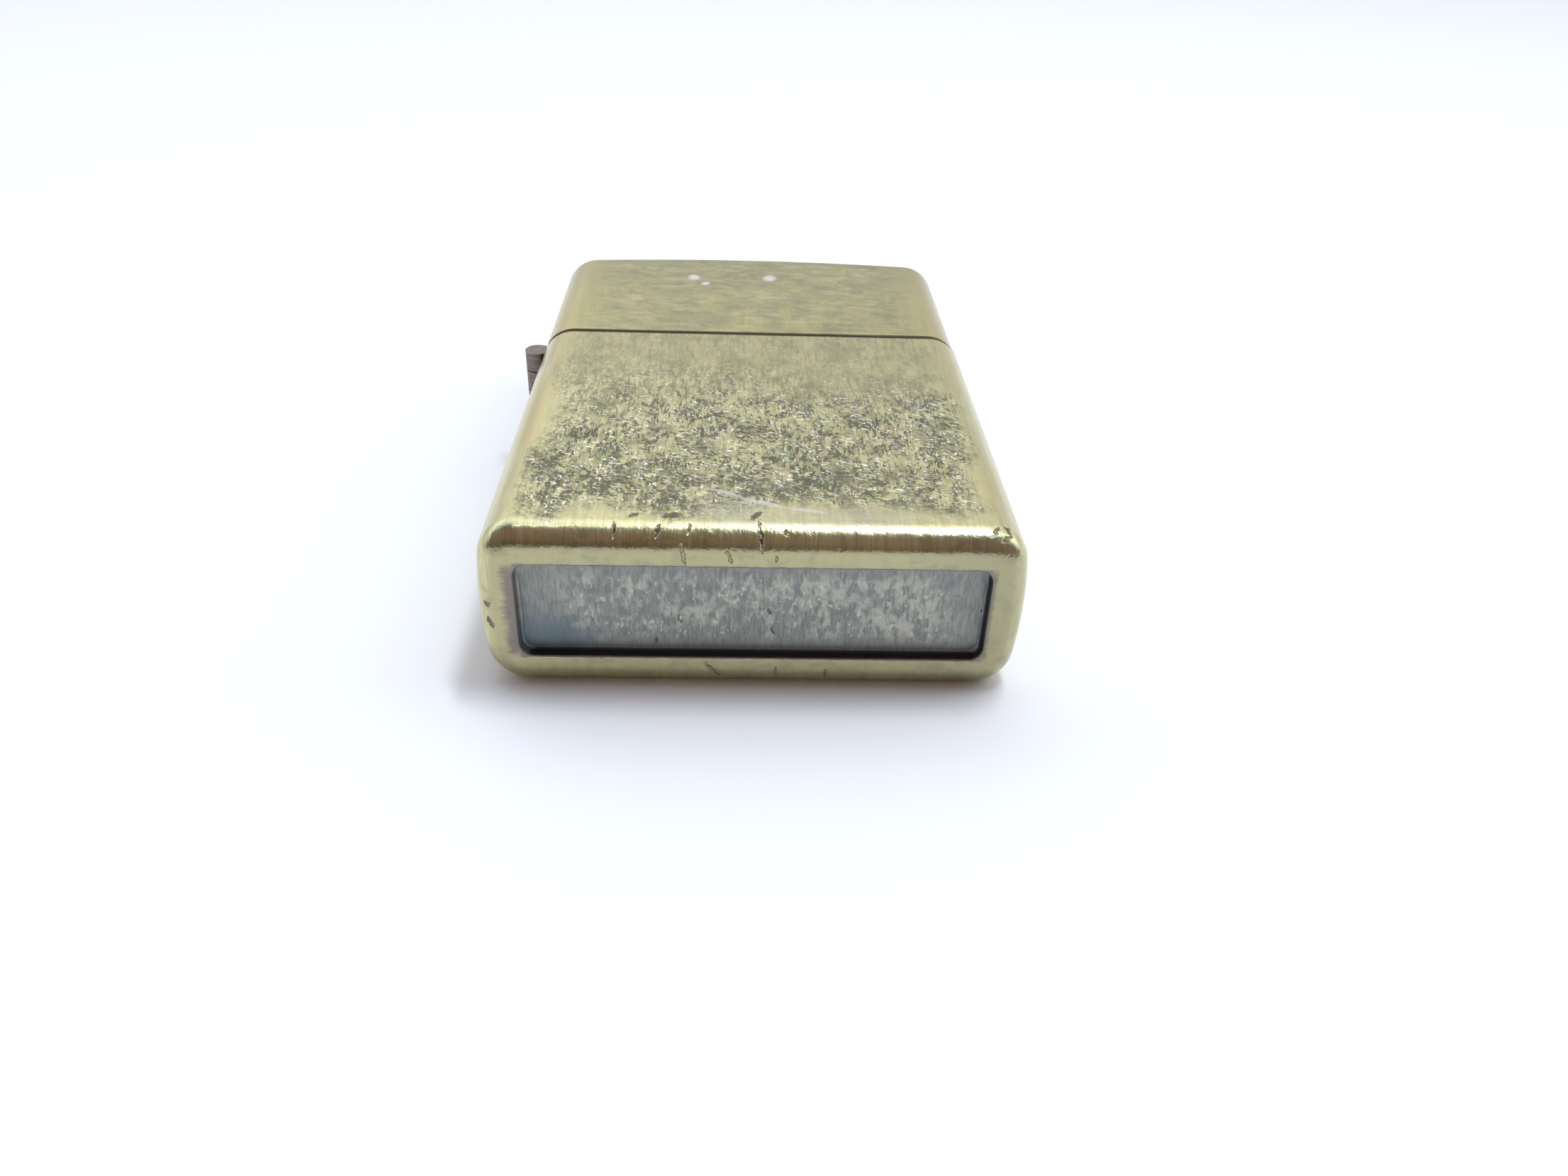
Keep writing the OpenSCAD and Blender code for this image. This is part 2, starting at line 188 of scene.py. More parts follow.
def quarter_tin(d):
    """Points of the tin's outline, inset by d, from the middle of the +X side to the middle of the front."""
    phi = math.asin((THICK / 2 - EDGE_R) / (BULGE_R - EDGE_R))
    mid = WIDTH / 2 - BULGE_R
    cx = mid + (BULGE_R - EDGE_R) * math.cos(phi)
    cv = THICK / 2 - EDGE_R
    side = BULGE_R - d
    points = [(mid + side * math.cos(phi * k / SIDE_STEPS), side * math.sin(phi * k / SIDE_STEPS))
              for k in range(SIDE_STEPS)]
    span = math.pi / 2 - phi
    for angle in CORNER_ANGLES:
        a = phi + span * angle / CORNER_ANGLES[-1]
        r = EDGE_R - d
        points.append((cx + r * math.cos(a), cv + r * math.sin(a)))
    points += [(cx * (1 - k / FLAT_STEPS), THICK / 2 - d) for k in range(1, FLAT_STEPS + 1)]
    return points


def quarter_recess(d):
    """The same number of points round the recess, drawn in by d."""
    half_w, half_t, r = RECESS_W / 2 - d, RECESS_T / 2 - d, max(RECESS_R - d, 0.05)
    points = [(half_w, (half_t - r) * k / SIDE_STEPS) for k in range(SIDE_STEPS)]
    for angle in CORNER_ANGLES:
        a = math.pi / 2 * angle / CORNER_ANGLES[-1]
        points.append((half_w - r + r * math.cos(a), half_t - r + r * math.sin(a)))
    points += [((half_w - r) * (1 - k / FLAT_STEPS), half_t) for k in range(1, FLAT_STEPS + 1)]
    return points


def whole(quarter):
    """The full ring from a quarter: it starts in the middle of the +X side and goes round by the front."""
    front_left = [(-x, v) for x, v in reversed(quarter[:-1])]
    half = quarter + front_left
    return half + [(x, -v) for x, v in reversed(half[1:-1])]


def tin(d):
    return whole(quarter_tin(d))


def recess(d):
    return whole(quarter_recess(d))


def in_notch(x, v):
    """True beside the hinge barrel, where both rims are cut away."""
    return x < 0 and abs(v) < BARREL_HALF + NOTCH_GAP


# ---- Dents and nicks, in millimetres: (x, h or v, length, angle, width, depth) ----

FRONT_NICKS = [
    (-5.6, 2.35, 1.3, 15, 0.75, 0.05),
    (0.05, 2.5, 1.3, 60, 0.5, 0.05),
    (0.35, 0.9, 1.9, 100, 0.25, 0.07),
    (-8.2, 2.35, 0.9, 40, 0.5, 0.02),
    (-9.4, 0.9, 1.0, 95, 0.2, 0.05),
    (-6.5, 0.8, 0.8, 75, 0.3, 0.04),
    (-4.4, 1.0, 0.7, 80, 0.25, 0.04),
    (2.1, 0.8, 0.5, 85, 0.2, 0.03),
    (16.3, 1.25, 0.9, 62, 0.3, 0.08),
    (17.1, 1.5, 0.8, 118, 0.35, 0.1),
    (17.0, 0.8, 0.9, 35, 0.25, 0.06),
]
RIM_NICKS = [
    (-4.8, 4.75, 1.4, 102, 0.26, 0.08),
    (-1.7, 4.6, 1.0, 115, 0.26, 0.06),
    (1.4, 4.5, 0.6, 95, 0.2, 0.04),
    (-2.8, -4.9, 1.5, 128, 0.22, 0.08),
    (1.65, -4.85, 0.9, 95, 0.18, 0.06),
    (5.2, -5.1, 0.8, 100, 0.16, 0.05),
    (-18.2, 0.4, 0.5, 30, 0.32, 0.06),
    (-18.15, -1.1, 0.9, 110, 0.3, 0.06),
]
# Marks in the surface only: the same six numbers, with no depth.
SCUFFS = [(-1.9, 5.5, 2.6, 152, 0.4, 0), (0.6, 4.2, 3.0, 158, 0.5, 0), (3.4, 3.3, 2.6, 168, 0.4, 0)]
# Painted glints on the lid, standing for soft reflections of lamps: the same six numbers, with no depth.
LID_PAINTED_GLINTS = [(-5.8, 49.6, 1.1, 90, 0.8, 0), (-4.6, 47.9, 0.7, 60, 0.5, 0), (1.75, 49.8, 1.2, 80, 0.9, 0)]
PANEL_TICKS = [(-5.1, -1.1, 1.0, 100, 0.22, 0), (1.15, -0.3, 0.6, 105, 0.26, 0),
               (1.4, -2.0, 0.9, 95, 0.2, 0), (-6.8, -2.9, 0.5, 90, 0.25, 0)]


def stroke_depth(strokes, a, b):
    """How deep the nicks are at (a, b)."""
    deep = 0.0
    for x, y, length, angle, width, depth in strokes:
        if abs(a - x) > length or abs(b - y) > length:
            continue
        c, s = math.cos(math.radians(angle)), math.sin(math.radians(angle))
        along = (a - x) * c + (b - y) * s
        across = -(a - x) * s + (b - y) * c
        q = (along / (0.5 * length)) ** 2 + (across / (0.5 * width)) ** 2
        deep = max(deep, depth * math.exp(-q))
    return deep


SKIN_WAVE = 0.006


def worn(point, normal):
    """A drawn and handled skin: a very slight waviness, pushed in at the nicks."""
    p = point / MM
    wave = SKIN_WAVE * noise.noise(Vector((p.x * 0.16, p.y * 0.12, p.z * 0.2)) + Vector((3.1, 7.7, 1.9)))
    deep = 0.0
    h, v = p.y + LENGTH / 2, p.z - THICK / 2
    if h < 5 and v > THICK / 2 - 1.4:
        deep = stroke_depth(FRONT_NICKS, p.x, h)
    if h < 1.2:
        deep = max(deep, stroke_depth(RIM_NICKS, p.x, v))
    return point - normal * (SKIN_WAVE + deep - wave) * MM


def wear_skin(bm, keep):
    """Moves every vertex inwards by the wear, unless keep(vertex) says it stays."""
    bmesh.ops.recalc_face_normals(bm, faces=bm.faces)
    bm.normal_update()
    moved = {vert: worn(vert.co, vert.normal) for vert in bm.verts if not keep(vert)}
    for vert, point in moved.items():
        vert.co = point


# ---- Case and lid ----


def rim_arc(d_out, d_in, h, r, up):
    """Insets and heights over a rolled rim, from outside to inside: up is 1 for the case, -1 for the lid."""
    angles = [math.pi / 2 * k / 4 for k in range(5)]
    outside = [(d_out + r * (1 - math.cos(a)), h - up * r * (1 - math.sin(a))) for a in angles]
    inside = [(d_in - r * (1 - math.cos(a)), h - up * r * (1 - math.sin(a))) for a in reversed(angles)]
    return outside + inside


def notch_shift(x, v, h, up):
    """Lowers the case's rim, or raises the lid's, beside the barrel; fades out along the wall."""
    if not in_notch(x, v):
        return 0.0
    return -up * NOTCH * max(0.0, 1 - abs(h - SEAM_H) / NOTCH_REACH)


def wall_ring(d, h, up):
    return [row(x, v, h + notch_shift(x, v, h, up)) for x, v in tin(d)]


# The inner wall and most of the rim, counted in rings from the inside: wear doesn't move them.
INNER_RINGS = 22


def build_case(materials):
    """Rings from the inside floor up the wall, over the rim, down the outside and into the sunk panel."""
    bm = bmesh.new()
    rings, slots = [], []

    def add(ring, slot=0):
        rings.append(ring)
        slots.append(slot)

    floor_h = RECESS_DEPTH + WALL
    inner_r = BASE_R - WALL
    for k in range(7, -1, -1):
        a = math.pi / 2 * k / 7
        add(wall_ring(WALL + inner_r * (1 - math.cos(a)), floor_h + inner_r * (1 - math.sin(a)), 1), 2)
    for h in (6, 14, 22, 28, 31, 33, 34.2):
        add(wall_ring(WALL, h, 1), 2)
    for d, h in reversed(rim_arc(0, WALL, RIM_H, RIM_R, 1)):
        add(wall_ring(d, h, 1), 0)
    heights = [34.6, 34.2, 33.6, 32.8, 31.8, 30.5, 29] + [28 - k for k in range(22)]
    heights += [5.6, 5.2, 4.8, 4.4] + [4.1 - 0.24 * k for k in range(10)]
    for h in heights:
        add(wall_ring(0, h, 1))
    steps = 18
    for k in range(steps + 1):
        a = math.pi / 2 * k / steps
        add(wall_ring(BASE_R * (1 - math.cos(a)), BASE_R * (1 - math.sin(a)), 1))
    outer, lip = tin(BASE_R), recess(-LIP_R)
    for k in range(1, 7):
        t = k / 6
        add([row(a[0] + (b[0] - a[0]) * t, a[1] + (b[1] - a[1]) * t, 0) for a, b in zip(outer, lip)])
    for k in range(1, 6):
        a = math.pi / 2 * k / 5
        d = -LIP_R * (1 - math.sin(a))
        add([row(x, v, LIP_R * (1 - math.cos(a))) for x, v in recess(d)], 1 if k == 5 else 0)
    for k in range(5):
        a = math.pi / 2 * k / 4
        foot = recess(FOOT_R * (1 - math.cos(a)))
        add([row(x, v, RECESS_DEPTH - FOOT_R * (1 - math.sin(a))) for x, v in foot], 1)
    add([row(x, v, RECESS_DEPTH) for x, v in recess(0.3)], 1)
    made = join_rings(bm, rings, slots)
    fill_strips(bm, made[0], 10, lambda x, v: row(x, v, floor_h), 2)

    def panel(x, v):
        edge = min(RECESS_W / 2 - abs(x), RECESS_T / 2 - abs(v))
        wave = noise.noise(Vector((x * 0.12, v * 0.2, 4.2)))
        return row(x, v, RECESS_DEPTH - (0.02 + 0.02 * wave) * smooth(0.3, 1.6, edge))

    fill_strips(bm, made[-1], 22, panel, 1)
    inner = {v for ring in made[:INNER_RINGS] for v in ring}
    wear_skin(bm, lambda vert: vert in inner or abs(vert.co.z) < 1e-7)
    mesh = finish_mesh(bm, "case_shell_brass")
    return new_piece("case_shell_brass", mesh, "case", materials, ["case_shell"])


def top_drop(x):
    """How far the crowned top falls below its middle."""
    return CROWN * (2 * x / WIDTH) ** 2


def lid_row(x, v, h):
    """The lid sits a touch inside the case on the side away from the hinge."""
    return row(x - LID_SLACK * smooth(0, WIDTH / 2, x), v, h)


def lid_ring(d, h):
    return [lid_row(x, v, h + notch_shift(x, v, h, -1)) for x, v in tin(d)]


def crowned(d, h):
    """A ring of the round top edge, which follows the crown."""
    return [lid_row(x, v, h - top_drop(x)) for x, v in tin(d)]


def build_lid(materials):
    """Rings from the inside of the top down the inner wall, over the rim, and up the outside to the crown."""
    bm = bmesh.new()
    rings, slots = [], []

    def add(ring, slot=0):
        rings.append(ring)
        slots.append(slot)

    def wall(d, h):
        share = smooth(40, straight, h)
        return [lid_row(x, v, h - top_drop(x) * share + notch_shift(x, v, h, -1)) for x, v in tin(d)]

    top_in, r_in = LENGTH - WALL, TOP_R - WALL
    steps = 8
    for k in range(steps, -1, -1):
        a = math.pi / 2 * k / steps
        add(crowned(WALL + r_in * (1 - math.cos(a)), top_in - r_in * (1 - math.sin(a))), 1)
    straight = LENGTH - TOP_R
    for h in (50, 46, 42, 39, 37.5, 36.2):
        add(wall(WALL, h), 1)
    for d, h in reversed(rim_arc(0, WALL, LID_H, RIM_R, -1)):
        add(lid_ring(d, h), 0)
    for k in range(1, 22):
        add(wall(0, LID_H + RIM_R + (straight - LID_H - RIM_R) * k / 22))
    steps = 18
    for k in range(steps + 1):
        a = math.pi / 2 * k / steps
        add(crowned(TOP_R * (1 - math.cos(a)), LENGTH - TOP_R * (1 - math.sin(a))))
    made = join_rings(bm, rings, slots)
    fill_strips(bm, made[0], 10, lambda x, v: row(x, v, top_in - top_drop(x)), 1)
    fill_strips(bm, made[-1], 14, lambda x, v: row(x, v, LENGTH - top_drop(x)), 0)
    inner = {v for ring in made[:INNER_RINGS] for v in ring}
    wear_skin(bm, lambda vert: vert in inner or abs(vert.co.z) < 1e-7)
    mesh = finish_mesh(bm, "lid_shell_brass")
    return new_piece("lid_shell_brass", mesh, "lid", materials, ["lid_shell"])


# ---- Shader helpers ----


class Nodes:
    """Short calls that fill one node tree."""

    def __init__(self, owner):
        owner.use_nodes = True
        self.tree = owner.node_tree
        self.tree.nodes.clear()

    def new(self, kind):
        return self.tree.nodes.new("ShaderNode" + kind)

    def link(self, value, socket):
        """Wires a node's output to the socket, or sets the socket to a plain value."""
        if isinstance(value, bpy.types.NodeSocket):
            self.tree.links.new(value, socket)
        else:
            socket.default_value = value

    def split(self, vector):
        node = self.new("SeparateXYZ")
        self.link(vector, node.inputs[0])
        return node.outputs

    def math(self, op, a, b=0.0):
        node = self.new("Math")
        node.operation = op
        self.link(a, node.inputs[0])
        self.link(b, node.inputs[1])
        return node.outputs[0]

    def add(self, a, b):
        return self.math("ADD", a, b)

    def mul(self, a, b):
        return self.math("MULTIPLY", a, b)

    def max(self, a, b):
        return self.math("MAXIMUM", a, b)

    def abs(self, a):
        return self.math("ABSOLUTE", a)


class Shader(Nodes):
    """A material whose coordinates are the frame's, in millimetres."""

    def __init__(self, name):
        self.material = bpy.data.materials.new(name)
        super().__init__(self.material)
        self.mm = self.stretch(self.new("TexCoord").outputs["Object"], (1 / MM,) * 3)
        self.x, self.y, self.z = self.split(self.mm)

    def stretch(self, vector, scale):
        node = self.new("VectorMath")
        node.operation = "MULTIPLY"
        node.inputs[1].default_value = scale
        self.link(vector, node.inputs[0])
        return node.outputs[0]

    def step(self, value, low, high):
        """An S-curve from 0 at low to 1 at high; low may be above high."""
        node = self.new("MapRange")
        node.interpolation_type = "SMOOTHSTEP"
        flip = low > high
        self.link(value, node.inputs["Value"])
        node.inputs["From Min"].default_value = min(low, high)
        node.inputs["From Max"].default_value = max(low, high)
        node.inputs["To Min"].default_value = 1.0 if flip else 0.0
        node.inputs["To Max"].default_value = 0.0 if flip else 1.0
        return node.outputs[0]

    def mix(self, share, a, b):
        node = self.new("Mix")
        node.data_type = "RGBA"
        self.link(share, node.inputs["Factor"])
        self.link(a if isinstance(a, bpy.types.NodeSocket) else (*a, 1), node.inputs[6])
        self.link(b if isinstance(b, bpy.types.NodeSocket) else (*b, 1), node.inputs[7])
        return node.outputs[2]

    def mapped(self, scale, angle=0.0, shift=(0, 0, 0)):
        """The place in millimetres, turned about z, shifted, and then stretched along x, y and z."""
        node = self.new("Mapping")
        node.inputs["Rotation"].default_value = (0, 0, math.radians(angle))
        node.inputs["Location"].default_value = shift
        self.link(self.mm, node.inputs[0])
        return self.stretch(node.outputs[0], scale)

    def noise(self, scale, detail=2.0, rough=0.5, warp=0.0, angle=0.0, shift=(0, 0, 0)):
        """Noise with so many lumps a millimetre along x, y and z."""
        scale = (scale,) * 3 if isinstance(scale, (int, float)) else scale
        node = self.new("TexNoise")
        node.inputs["Scale"].default_value = 1.0
        node.inputs["Detail"].default_value = detail
        node.inputs["Roughness"].default_value = rough
        node.inputs["Distortion"].default_value = warp
        self.link(self.mapped(scale, angle, shift), node.inputs["Vector"])
        return node.outputs["Fac"]

    def sway(self, amount, *scale_and_more, **more):
        """Noise about zero, up to half of the amount either way."""
        return self.mul(self.add(self.noise(*scale_and_more, **more), -0.5), amount)

    def bump(self, height, distance, strength=1.0, normal=None):
        node = self.new("Bump")
        node.inputs["Strength"].default_value = strength
        node.inputs["Distance"].default_value = distance * MM
        self.link(height, node.inputs["Height"])
        if normal is not None:
            self.link(normal, node.inputs["Normal"])
        return node.outputs[0]

    def finish(self, color, metallic, roughness, normal=None, **fixed):
        """Wires the surface up. Fixed values are named as the shader's sockets, with _ for a space."""
        shader = self.new("BsdfPrincipled")
        self.link(color, shader.inputs["Base Color"])
        self.link(metallic, shader.inputs["Metallic"])
        self.link(roughness, shader.inputs["Roughness"])
        if normal is not None:
            self.link(normal, shader.inputs["Normal"])
        for key, value in fixed.items():
            shader.inputs[key.replace("_", " ")].default_value = value
        self.link(shader.outputs[0], self.new("OutputMaterial").inputs[0])
        return self.material

    def stroke(self, strokes, a, b, ragged, outer=1.5, inner=0.4):
        """1 inside any of the short strokes, on the plane of a and b, fading from inner to outer."""
        total = None
        for x, y, length, angle, width, _ in strokes:
            c, s = math.cos(math.radians(angle)), math.sin(math.radians(angle))
            da, db = self.add(a, -x), self.add(b, -y)
            along = self.add(self.mul(da, 2 * c / length), self.mul(db, 2 * s / length))
            across = self.add(self.mul(da, -2 * s / width), self.mul(db, 2 * c / width))
            q = self.add(self.mul(along, along), self.mul(across, across))
            one = self.step(self.add(q, ragged), outer, inner)
            total = one if total is None else self.max(total, one)
        return total


# ---- Materials ----

BRASS = (0.525, 0.485, 0.262)
PALE_BRASS = (0.65, 0.61, 0.365)
WARM_BRASS = (0.59, 0.49, 0.245)
DARK_PATINA = (0.07, 0.072, 0.04)
PURPLE_PATINA = (0.085, 0.075, 0.085)
GREY_PATINA = (0.27, 0.245, 0.24)
DULL_BRASS = (0.38, 0.35, 0.19)
OCHRE_BRASS = (0.56, 0.50, 0.24)
RUBBED_BRASS = (0.50, 0.49, 0.36)
BARE_BRASS = (0.95, 0.94, 0.80)
OLIVE_CLOUD = (0.24, 0.235, 0.14)
BROWN_STREAK = (0.22, 0.205, 0.13)
GREEN_TINGE = (0.34, 0.41, 0.17)
RED_TINGE = (0.42, 0.29, 0.20)
BASE_RIM_PAINTED_SHADE = (0.43, 0.40, 0.225)
RIM_RIGHT_PAINTED_SHADE = (0.31, 0.30, 0.20)
RIM_WEAR = (0.27, 0.26, 0.20)
SEAM_PAINTED_SHADE = (0.06, 0.05, 0.025)
NICK_DARK = (0.05, 0.042, 0.03)
LIP_PAINTED_SHADE = (0.04, 0.038, 0.045)
SCUFF_GREY = (0.70, 0.72, 0.70)
LID_BRASS = (0.42, 0.385, 0.19)
LID_BRASS_PALE = (0.475, 0.435, 0.22)
PAINTED_GLINT_WHITE = (0.80, 0.81, 0.83)
PANEL_GREY = (0.245, 0.258, 0.245)
PANEL_PALE = (0.34, 0.348, 0.315)
PANEL_TEAL = (0.13, 0.20, 0.235)
WHITE_STEEL = (0.70, 0.70, 0.69)


def grain(s):
    """Brushed streaks: along the length on the front and back, up and down on the base and the sides."""
    fine = s.noise((9, 0.35, 0.45), 3, 0.6)
    coarse = s.noise((3.2, 0.16, 0.25), 2, 0.5, shift=(5, 1, 2))
    return s.add(s.mul(fine, 0.6), s.mul(coarse, 0.4))


def side_mask(s):
    """1 on the narrow sides and the round edges beside them."""
    return s.step(s.abs(s.x), 15.6, 17.4)


def face_mask(s):
    """1 on the flat front and back, 0 on the round edges."""
    return s.step(s.abs(s.add(s.z, -THICK / 2)), THICK / 2 - 0.25, THICK / 2 - 0.03)


def speckle(s, size, soft, level=0.5):
    """Dark worn-in dashes, from 0 to 1: some along the length and some slanted, in clusters."""
    along = s.noise((4.2 / size, 1.1 / size, 1.6 / size), 4, 0.72, 0.6)
    slanted = s.noise((2.2 / size, 3.0 / size, 1.6 / size), 4, 0.74, 0.6, 32, (3, 8, 0))
    which = s.step(s.add(s.noise(0.3 / size, 2, 0.5, 0.5, shift=(6, 0, 6)), s.mul(s.y, -0.006)), 0.53, 0.65)
    spots = s.add(s.mul(along, s.add(1, s.mul(which, -1))), s.mul(slanted, which))
    cluster = s.sway(0.5, (0.5 / size, 0.34 / size, 0.5), 3, 0.7, 0.8, shift=(9, 3, 1))
    return s.step(s.add(spots, cluster), level - soft, level + soft)


def flecks(s):
    """Short bright dashes in two directions."""
    first = s.noise((1.7, 4.8, 2), 2, 0.5, 0.5, 24, (2, 9, 4))
    second = s.noise((5.5, 1.9, 2), 2, 0.5, 0.5, -10, (7, 3, 1))
    return s.max(s.step(first, 0.59, 0.68), s.step(second, 0.6, 0.7))


def nick_marks(s, h, v):
    """Masks of the cuts in the base edge and its rim, and of the pale scuffs above them."""
    warp = s.sway(0.55, 2.2, 2, 0.6)
    warp_b = s.sway(0.55, 2.6, 2, 0.6, shift=(9, 9, 9))
    ragged = s.sway(1.2, 6, 2)
    front = s.stroke(FRONT_NICKS, s.add(s.x, warp), s.add(h, warp_b), ragged)
    front = s.mul(front, s.step(s.z, THICK - 1.6, THICK - 1.2))
    rim = s.mul(s.stroke(RIM_NICKS, s.add(s.x, warp), s.add(v, warp_b), ragged), s.step(h, 1.3, 0.9))
    scuff_x, scuff_h = s.add(s.x, s.mul(warp, 0.6)), s.add(h, s.mul(warp_b, 0.6))
    return s.max(front, rim), s.stroke(SCUFFS, scuff_x, scuff_h, ragged, 2.2, 0.1)


def lip_tarnish(s, h, v):
    """Mask of the grey tarnish where the rim rolls into the recess, widest at the recess's left end."""
    frayed = s.sway(1.3, (1.2, 1, 5), 3, 0.7, 0.3, shift=(5, 5, 0))
    left_gap = s.add(s.add(s.mul(s.x, -1), -RECESS_W / 2), frayed)
    right_gap = s.add(s.add(s.x, -RECESS_W / 2), s.mul(frayed, 0.4))
    left = s.mul(s.step(left_gap, 1.15, 0.4), s.step(s.x, 0, -1))
    right = s.mul(s.step(right_gap, 0.45, 0.15), s.step(s.x, 0, 1))
    height = s.step(s.add(v, s.mul(frayed, 0.5)), RECESS_T / 2 + 0.3, RECESS_T / 2 - 0.5)
    ends = s.mul(s.max(left, right), height)
    across = s.abs(s.x)
    long_gap = s.add(s.add(v, -RECESS_T / 2), s.mul(frayed, 0.3))
    long_sides = s.mul(s.step(long_gap, 0.22, 0.06), s.step(across, RECESS_W / 2 + 0.3, RECESS_W / 2 - 0.2))
    reach = s.step(across, RECESS_W / 2 + 1.6, RECESS_W / 2 + 1.3)
    return s.mul(s.mul(s.max(ends, long_sides), s.step(h, 0.6, 0.3)), reach)


def lip_painted_shade(s, h, v):
    """Mask of the painted shade: a dark line just inside the recess's mouth."""
    band = s.mul(s.step(h, 0.05, 0.11), s.step(h, 0.5, 0.3))
    beside = s.step(v, RECESS_T / 2 + 0.35, RECESS_T / 2 + 0.2)
    from_left = s.step(s.x, -RECESS_W / 2 + 0.2, -RECESS_W / 2 + 0.6)
    to_right = s.step(s.x, RECESS_W / 2 + 0.25, RECESS_W / 2 + 0.1)
    return s.mul(s.mul(band, beside), s.mul(from_left, to_right))


def case_brass():
    """Brushed brass with dark dashes and bright flecks low on the face, and painted shade on the base rim and
    seam.
    """
    s = Shader("case_brass_worn")
    h = s.add(s.y, LENGTH / 2)
    v = s.add(s.z, -THICK / 2)
    across = s.abs(s.x)
    face = face_mask(s)
    streak = grain(s)
    patch = s.noise((0.14, 0.12, 0.2), 3, 0.6, 0.4, shift=(1, 4, 0))
    drift = s.add(s.mul(s.add(patch, -0.5), 16), s.sway(6, (0.6, 0.5, 0.5), 3, 0.7, 0.3, shift=(4, 0, 9)))

    # how strongly the face is worn: heart is the patch, dense fades out up the face
    edge = s.step(s.add(across, s.mul(drift, 0.5)), 17.6, 14.6)
    low = s.step(s.add(h, s.mul(drift, -0.5)), 1.8, 4.8)
    heart = s.mul(s.mul(edge, low), face)
    dense = s.mul(heart, s.add(0.22, s.mul(s.step(s.add(h, drift), 30, 17), 0.78)))
    spots = speckle(s, 1.0, 0.045, 0.52)
    blots = s.mul(speckle(s, 2.6, 0.05, 0.54), s.step(h, 13, 6))
    dark = s.mul(s.max(spots, s.mul(blots, 0.8)), dense)
    bright = s.mul(flecks(s), s.mul(dense, s.step(s.noise(0.7, 2, 0.5, shift=(3, 1, 7)), 0.4, 0.56)))

    # plain brass, and its soft clouds and tinges
    base = s.mix(s.step(streak, 0.36, 0.64), BRASS, PALE_BRASS)
    side = s.mul(side_mask(s), s.step(h, 1.5, 5))
    base = s.mix(s.mul(side, s.step(patch, 0.35, 0.65)), base, WARM_BRASS)
    cloud = s.noise((0.42, 0.3, 0.5), 3, 0.6, 0.4, shift=(8, 2, 5))
    base = s.mix(s.mul(s.step(cloud, 0.42, 0.66), s.mul(heart, 0.6)), base, OLIVE_CLOUD)
    streaky = s.noise((2.6, 0.4, 1), 3, 0.6, 0.2, shift=(1, 7, 3))
    base = s.mix(s.mul(s.step(streaky, 0.45, 0.64), s.mul(heart, 0.55)), base, BROWN_STREAK)
    base = s.mix(s.mul(s.step(h, 18, 31), s.mul(face, 0.5)), base, DULL_BRASS)
    green = s.noise((1.1, 0.9, 1), 2, 0.5, 0.4, shift=(2, 2, 8))
    base = s.mix(s.mul(s.step(green, 0.54, 0.64), s.mul(dense, 0.45)), base, GREEN_TINGE)
    base = s.mix(s.mul(s.step(green, 0.44, 0.36), s.mul(dense, 0.3)), base, RED_TINGE)

    # dashes and flecks, then the rubbed edges round them
    purple = s.mul(s.step(s.noise(0.8, 2, 0.5, 0.5, shift=(4, 9, 4)), 0.5, 0.62), 0.8)
    base = s.mix(s.mul(dark, 0.88), base, s.mix(purple, DARK_PATINA, PURPLE_PATINA))
    base = s.mix(s.mul(bright, 0.85), base, BARE_BRASS)
    rubbed = s.mul(s.step(s.add(h, s.mul(drift, 0.4)), 5.0, 2.2), s.step(s.abs(s.add(s.x, -3.5)), 9, 5))
    base = s.mix(s.mul(rubbed, s.mul(face, 0.5)), base, RUBBED_BRASS)
    ochre = s.mul(s.step(across, 15.2, 17.0), s.step(streak, 0.42, 0.62))
    base = s.mix(s.mul(s.mul(ochre, face), 0.7), base, OCHRE_BRASS)

    cuts, scuffs = nick_marks(s, h, v)
    # the nicks are coloured dark
    base = s.mix(s.mul(cuts, 0.8), base, NICK_DARK)
    base = s.mix(s.mul(s.mul(scuffs, face), 0.5), base, SCUFF_GREY)

    # the rim round the base: its flat is painted darker as shade, and tarnished where it rolls into the
    # recess
    base = s.mix(s.mul(s.step(h, 0.3, 0.05), 0.75), base, BASE_RIM_PAINTED_SHADE)
    from_middle = s.abs(v)
    tarnish = lip_tarnish(s, h, from_middle)
    base = s.mix(s.mul(tarnish, 0.8), base, GREY_PATINA)
    # painted shade: the dark line inside the recess's mouth
    base = s.mix(s.mul(lip_painted_shade(s, h, from_middle), 0.9), base, LIP_PAINTED_SHADE)
    rim = s.step(h, 1.2, 0.4)
    # painted shade: the right part of the rim is darker
    base = s.mix(s.mul(s.step(s.x, 8, 17), s.mul(rim, 0.4)), base, RIM_RIGHT_PAINTED_SHADE)
    worn_rim = s.step(s.noise((0.5, 1, 0.9), 3, 0.65, 0.5, shift=(7, 7, 2)), 0.47, 0.66)
    base = s.mix(s.mul(worn_rim, s.mul(rim, 0.35)), base, RIM_WEAR)

    # painted shade: the rolled rim at the seam is darkened for the shadowed gap between case and lid
    seam = s.step(h, RIM_H - 0.46, RIM_H - 0.22)
    base = s.mix(s.mul(seam, 0.9), base, SEAM_PAINTED_SHADE)

    rough = s.add(0.24, s.mul(face, 0.1))
    rough = s.add(rough, s.mul(dark, 0.22))
    rough = s.add(rough, s.mul(s.add(streak, -0.5), 0.2))
    rough = s.add(rough, s.mul(s.max(seam, tarnish), 0.3))
    normal = s.bump(s.add(s.mul(streak, 0.4), s.mul(spots, s.mul(dense, -0.5))), 0.02, 0.5)
    uneven = s.mul(s.noise((1.1, 0.9, 0.9), 3, 0.6, 0.4, shift=(1, 1, 5)), s.step(h, 4.5, 2.5))
    normal = s.bump(uneven, 0.07, 0.8, normal)
    normal = s.bump(s.mul(cuts, -1), 0.12, 0.8, normal)
    return s.finish(base, s.add(0.97, s.mul(dark, -0.35)), rough, normal)


